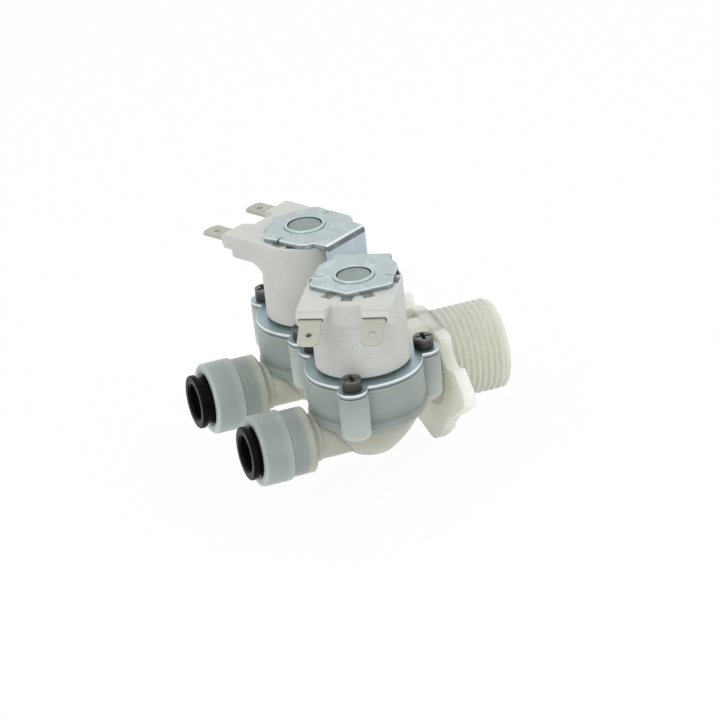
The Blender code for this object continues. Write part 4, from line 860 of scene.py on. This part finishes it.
def build_yokes(context):
    """Yokes from three pieces of the sheet, and the sleeve's ring and tube's end in their tops."""
    zinc = context.scene.valve_colours.zinc
    # Colours of the yokes: a painted highlight for the upper rims of the cut edges, the leg's
    # tone, a painted shade for the side faces, painted shadow lines, a painted dark reflection for
    # the upper fold, and the foot's tone, made bluer as a painted reflection.
    edge, leg = linear(232, 238, 238), linear(192, 205, 213)
    side_face_shade, dark = linear(160, 174, 178), linear(84, 96, 100)
    fold_dark_reflection, deck = linear(112, 122, 126), linear(172, 190, 196)
    # The top plates' cut edges are painted by height: a highlight along the upper rim, the side
    # face shaded, and shadow lines across its middle and at its foot.
    top = plated("zinc_plate", zinc, 0.4, 0.75, 0.8, 0.04, [
        (25.3, leg), (25.5, dark), (25.62, side_face_shade), (25.92, side_face_shade), (26.02, dark),
        (26.16, linear(150, 164, 167)), (26.6, linear(166, 179, 182)), (26.76, edge),
        (26.97, edge), (26.995, zinc)], scuff=0.5)
    # The leg's upper fold is painted dark for a reflection, with a painted highlight on its crest.
    folded = plated("zinc_leg", zinc, 0.4, 0.75, 0.8, 0.04, [
        (20.0, leg), (24.9, leg), (25.2, fold_dark_reflection), (26.35, fold_dark_reflection), (26.6, edge), (26.8, edge),
        (26.95, zinc)], scuff=0.3)
    # The foot plates' cut edges are painted: a highlight over their upper part, darker towards the
    # underside.
    foot = plated("zinc_foot", deck, 0.36, 0.8, 0.8, 0.03, [
        (-1.3, linear(130, 144, 148)), (-0.75, side_face_shade), (-0.5, edge), (-0.03, edge),
        (-0.005, deck)])
    bright = plated("zinc_ring", shade(zinc, 1.1), 0.3, 0.9, 0.3, 0.01)
    dull = plated("tube_end", linear(146, 156, 155), 0.5, 0.7, 0.9, 0.02)
    sleeve = fillet([(5.05, 27.5, 0.1), (5.95, 27.5, 0.3), (5.95, 25.4), (5.85, 25.2),
                     (5.85, 13.0), (5.05, 13.0)], closed=True)
    tube = fillet([(0.0, 27.2), (4.4, 27.2, 0.2), (4.8, 27.05, 0.2), (4.75, DECK), (9.5, DECK),
                   (9.5, -2.2), (4.25, -2.2), (4.25, 26.4), (0.0, 26.4)])
    for side in SIDES:
        for name, shell, finish, solid, slot in (
                ("yoke_sheet", top_plate(), top, "yoke", "zinc"),
                ("yoke_leg", yoke_leg(), folded, "yoke", "zinc"),
                ("yoke_foot", foot_plate(), foot, "yoke", "zinc"),
                ("sleeve_ring", lathe(sleeve, 96), bright, "flux_sleeve", "zinc"),
                ("tube_shell", lathe(tube, 96), dull, "guide_tube", "stainless")):
            shell = moved(shell, valve_centre(side), YOKE_TURN[side] if solid == "yoke" else 0.0)
            piece(f"{side}_{name}", [shell], finish, [f"{side}_{solid}"])


def screw_shell(turn):
    """Screw: turned head and shank, the head's top sunk where a cross of two slots lies."""
    angle = full_turn(96)
    radius = np.linspace(0.0, 2.5, 26)[:, None]
    x, y = radius * np.cos(angle + turn), radius * np.sin(angle + turn)
    arm = np.minimum(np.abs(x), np.abs(y))
    reach = np.maximum(np.abs(x), np.abs(y))
    inside = np.minimum(CROSS_HALF - arm, CROSS_REACH - reach)
    sunk = np.clip(inside / 0.14 + 0.3, 0.0, 1.0) * (2.2 - 0.45 * reach)
    top = polar(radius, angle, SCREW_TOP - sunk)
    rest = fillet([(2.6, SCREW_TOP), (2.9, SCREW_TOP, 0.4), (2.9, 0.3, 0.1), (1.8, 0.3),
                   (1.8, -11.8), (0.0, -11.8)])[1:]
    return grid(np.concatenate([top, polar(rest[:, :1], angle, rest[:, 1:])]))


def build_screws(context):
    """Three screws on each yoke, their crosses at different turns."""
    tone = context.scene.valve_colours.screw
    # The bands by height paint light and shade: the heads darker towards their foot and down in
    # their crosses, lighter at the top and brightest at the rim.
    dark = plated("screw_dark", tone, 0.34, 0.85, 2.6, 0.1, [
        (0.3, tone, 0.45), (2.0, tone, 0.62), (2.9, tone, 1.1), (3.35, tone, 1.9),
        (3.5, tone, 1.5)])
    for side, sign in SIDES.items():
        for number, centre in enumerate(screw_centres(side), 1):
            shell = moved(screw_shell(0.35 + 0.8 * number + sign), centre)
            piece(f"{side}_screw_head_{number}", [shell], dark, [f"{side}_screw_{number}"])


def spring_shell():
    """Coil spring: a wire's circle carried up a helix.

    At turn t the height rises evenly with t, and the wire's point at angle a lies at radius
    R + wire cos a and wire sin a above the helix.
    """
    whole = 2.0 * np.pi * SPRING_TURNS
    angle = full_turn(10)
    turn = np.concatenate([[0.0], np.linspace(0.0, whole, 129), [whole]])[:, None]
    thick = np.full(turn.shape, SPRING_WIRE)
    thick[[0, -1]] = 0.0
    radius = SPRING_RADIUS + thick * np.cos(angle)
    level = SPRING_LOW + (SPRING_HIGH - SPRING_LOW) * turn / whole + thick * np.sin(angle)
    return grid(polar(radius, turn, level))


def build_moving(rubber, steel):
    """The springs, and the diaphragms in two pieces each, the wall apart from the disc.

    A diaphragm's web dips in a fold between the clamped bead and the disc on the hub. The
    fold's outer wall lies between the two, baked in place on no body; the rest of it rides on
    the hub.
    """
    outer = fillet([(14.2, -6.32, 0.5), (14.2, -8.3, 0.5), (12.2, -8.3, 0.3), (11.8, -8.6, 0.5),
                    (10.45, -10.85, 0.2), (9.95, -10.5, 0.2), (11.2, -8.4, 0.8),
                    (11.4, -6.9, 0.5), (12.2, -6.32, 0.4)], closed=True)
    inner = fillet([(2.34, -6.92), (6.2, -6.92, 0.3), (7.1, -7.3, 0.5), (8.2, -9.9, 0.8),
                    (9.2, -10.5, 0.6), (10.3, -10.4, 0.1), (10.2, -10.9, 0.2), (8.9, -11.1, 0.8),
                    (7.6, -10.4, 0.8), (6.5, -7.9, 0.5), (2.34, -7.9)], closed=True)
    for side in SIDES:
        centre = valve_centre(side)
        spring = piece(f"{side}_spring_wire", [moved(spring_shell(), centre)], steel,
                       [f"{side}_plunger_spring"])
        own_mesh(spring)
        wall = piece(f"{side}_diaphragm_wall", [moved(lathe(outer, 96), centre)], rubber,
                     [f"{side}_diaphragm"], body=None)
        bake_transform(wall)
        piece(f"{side}_diaphragm_disc", [moved(lathe(inner, 96), centre)], rubber,
              [f"{side}_diaphragm"], body=f"{side}_hub")


def build_inner(context):
    """Springs and diaphragms, and finishes of the solids that stay as they are."""
    colours = context.scene.valve_colours
    rubber = plain("rubber", linear(38, 38, 39), 0.75)
    steel = plain("inner_steel", linear(170, 174, 176), 0.32, 0.9)
    finishes = [
        (moulded("strainer_nylon", shade(colours.nylon, 0.95), 0.5, 0.5, 1.0), ("strainer",)),
        (rubber, ("tube_o_ring", "diaphragm", "plunger_seal")),
        (steel, ("plunger", "pole_core", "plunger_spring")),
        (moulded("inner_white", linear(212, 212, 206), 0.5, 0.1),
         ("diaphragm_hub", "bonnet", "bobbin", "spacer_ring")),
        (plain("enamelled_wire", linear(176, 98, 58), 0.3, 0.9, 0.03),
         ("winding", "shading_ring"))]
    for name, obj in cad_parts.items():
        for finish, endings in finishes:
            if name.split("_", 1)[1] in endings:
                obj.data.materials.clear()
                obj.data.materials.append(finish)
    build_moving(rubber, steel)


# Stage

def add_light(name, location, size, power, colour):
    """A soft square light at a place in millimetres, facing the target."""
    data = bpy.data.lights.new(name, "AREA")
    data.shape = "SQUARE"
    data.size = size * MM
    data.energy = power
    data.color = colour
    obj = bpy.data.objects.new(name, data)
    obj.location = Vector(location) * MM
    aim = (Vector(TARGET) - Vector(location)).to_track_quat("-Z", "Y")
    obj.rotation_euler = aim.to_euler()
    bpy.context.scene.collection.objects.link(obj)


def white_backdrop(tree, shader_socket, white, share=1.0):
    """Plain white for camera, glossy and transmission rays, and the lit shader for the rest."""
    path = tree.nodes.new("ShaderNodeLightPath").outputs
    seen = path["Is Camera Ray"]
    for kind in ("Is Glossy Ray", "Is Transmission Ray"):
        seen = maths(tree, "MAXIMUM", seen, path[kind])
    mixed = tree.nodes.new("ShaderNodeMixShader")
    amount = maths(tree, "MULTIPLY", seen, share)
    for socket, value in zip(mixed.inputs, (amount, shader_socket, white.outputs[0])):
        put(socket, value)
    return mixed.outputs[0]


def build_stage(context):
    """White floor and world, three soft lights, and the camera at the photograph's angle."""
    scene = context.scene
    scene.view_settings.view_transform = "Standard"
    scene.view_settings.look = "None"
    world = bpy.data.worlds.new("studio")
    world.use_nodes = True
    tree = world.node_tree
    where = tree.nodes.new("ShaderNodeTexCoord").outputs["Generated"]
    parts = node(tree, "ShaderNodeSeparateXYZ", Vector=where)
    sky = mix_colour(tree, remap(tree, parts.outputs["Z"], -0.3, 0.9), (0.8,) * 3, (1.0,) * 3)
    around = feed(tree.nodes["Background"], Color=sky, Strength=0.8)
    white = node(tree, "ShaderNodeBackground", Color=(1.0,) * 4, Strength=1.0)
    put(tree.nodes["World Output"].inputs[0], white_backdrop(tree, around.outputs[0], white))
    scene.world = world

    mesh = bpy.data.meshes.new("floor")
    mesh.from_pydata([(x * FLOOR_REACH, y * FLOOR_REACH, FLOOR_LEVEL)
                      for x, y in ((-1, -1), (1, -1), (1, 1), (-1, 1))], [], [(0, 1, 2, 3)])
    floor = bpy.data.objects.new("floor", mesh)
    scene.collection.objects.link(floor)
    mat, tree, shader = start_material("floor_white")
    feed(shader, Base_Color=(0.95, 0.95, 0.95, 1.0), Roughness=0.9)
    glow = node(tree, "ShaderNodeEmission", Color=(1.0,) * 4, Strength=1.0)
    put(tree.nodes["Material Output"].inputs[0],
        white_backdrop(tree, shader.outputs[0], glow, 0.96))
    mesh.materials.append(mat)
    for light in LIGHTS:
        add_light(*light)

    turn, lift, roll = (math.radians(a) for a in CAMERA_ANGLES)
    right = Vector((math.cos(turn), math.sin(turn), 0.0))
    ahead = Vector((-math.sin(turn) * math.cos(lift), math.cos(turn) * math.cos(lift),
                    -math.sin(lift)))
    up = right.cross(ahead)
    across = math.cos(roll) * right + math.sin(roll) * up
    upright = -math.sin(roll) * right + math.cos(roll) * up
    data = bpy.data.cameras.new("camera")
    data.sensor_width = 36.0
    data.lens = CAMERA_LENS
    data.clip_start = 0.1
    data.clip_end = 20.0
    camera = bpy.data.objects.new("camera", data)
    spot = (-CAMERA_DISTANCE * ahead + CAMERA_RIGHT * across - CAMERA_DOWN * upright
            - Vector((SETBACK, 0.0, -RISE)))
    basis = Matrix((across, upright, -ahead)).transposed().to_4x4()
    camera.matrix_world = Matrix.Translation(spot * MM) @ basis
    scene.collection.objects.link(camera)
    scene.camera = camera


class VALVE_OT_body(bpy.types.Operator):
    """Build the moulded body: inlet, flange, chambers, necks and sockets"""
    bl_idname = "valve.body"
    bl_label = "Body"

    def execute(self, context):
        build_body(context)
        return {"FINISHED"}


class VALVE_OT_outlets(bpy.types.Operator):
    """Build the outlet caps and release collets"""
    bl_idname = "valve.outlets"
    bl_label = "Outlets"

    def execute(self, context):
        build_outlets(context)
        return {"FINISHED"}


class VALVE_OT_coils(bpy.types.Operator):
    """Build the coil housings and terminals"""
    bl_idname = "valve.coils"
    bl_label = "Coils"

    def execute(self, context):
        build_coils(context)
        return {"FINISHED"}


class VALVE_OT_yokes(bpy.types.Operator):
    """Build the plated yokes and the rings and tubes in their tops"""
    bl_idname = "valve.yokes"
    bl_label = "Yokes"

    def execute(self, context):
        build_yokes(context)
        return {"FINISHED"}


class VALVE_OT_screws(bpy.types.Operator):
    """Build the fixing screws"""
    bl_idname = "valve.screws"
    bl_label = "Screws"

    def execute(self, context):
        build_screws(context)
        return {"FINISHED"}


class VALVE_OT_inner(bpy.types.Operator):
    """Finish the solids inside the valves"""
    bl_idname = "valve.inner"
    bl_label = "Inner pieces"

    def execute(self, context):
        build_inner(context)
        return {"FINISHED"}


class VALVE_OT_stage(bpy.types.Operator):
    """Set up the floor, lights and camera"""
    bl_idname = "valve.stage"
    bl_label = "Stage"

    def execute(self, context):
        build_stage(context)
        return {"FINISHED"}


OPERATORS = (VALVE_OT_body, VALVE_OT_outlets, VALVE_OT_coils, VALVE_OT_yokes, VALVE_OT_screws,
             VALVE_OT_inner, VALVE_OT_stage)


class VALVE_PT_panel(bpy.types.Panel):
    """Sizes, colours and steps of the valve"""
    bl_idname = "VALVE_PT_panel"
    bl_label = "Double solenoid valve"
    bl_space_type = "VIEW_3D"
    bl_region_type = "UI"
    bl_category = "Valve"

    def draw(self, context):
        for group in (context.scene.valve_sizes, context.scene.valve_colours):
            box = self.layout.box()
            for name in group.__annotations__:
                box.prop(group, name)
        for operator in OPERATORS:
            self.layout.operator(operator.bl_idname)


CLASSES = (ValveSizes, ValveColours, *OPERATORS, VALVE_PT_panel)


def register():
    for cls in CLASSES:
        bpy.utils.register_class(cls)
    bpy.types.Scene.valve_sizes = PointerProperty(type=ValveSizes)
    bpy.types.Scene.valve_colours = PointerProperty(type=ValveColours)


def unregister():
    del bpy.types.Scene.valve_colours
    del bpy.types.Scene.valve_sizes
    for cls in reversed(CLASSES):
        bpy.utils.unregister_class(cls)


def main():
    register()
    bpy.ops.valve.body()
    bpy.ops.valve.outlets()
    bpy.ops.valve.coils()
    bpy.ops.valve.yokes()
    bpy.ops.valve.screws()
    bpy.ops.valve.inner()
    bpy.ops.valve.stage()


if __name__ == "__main__":
    main()
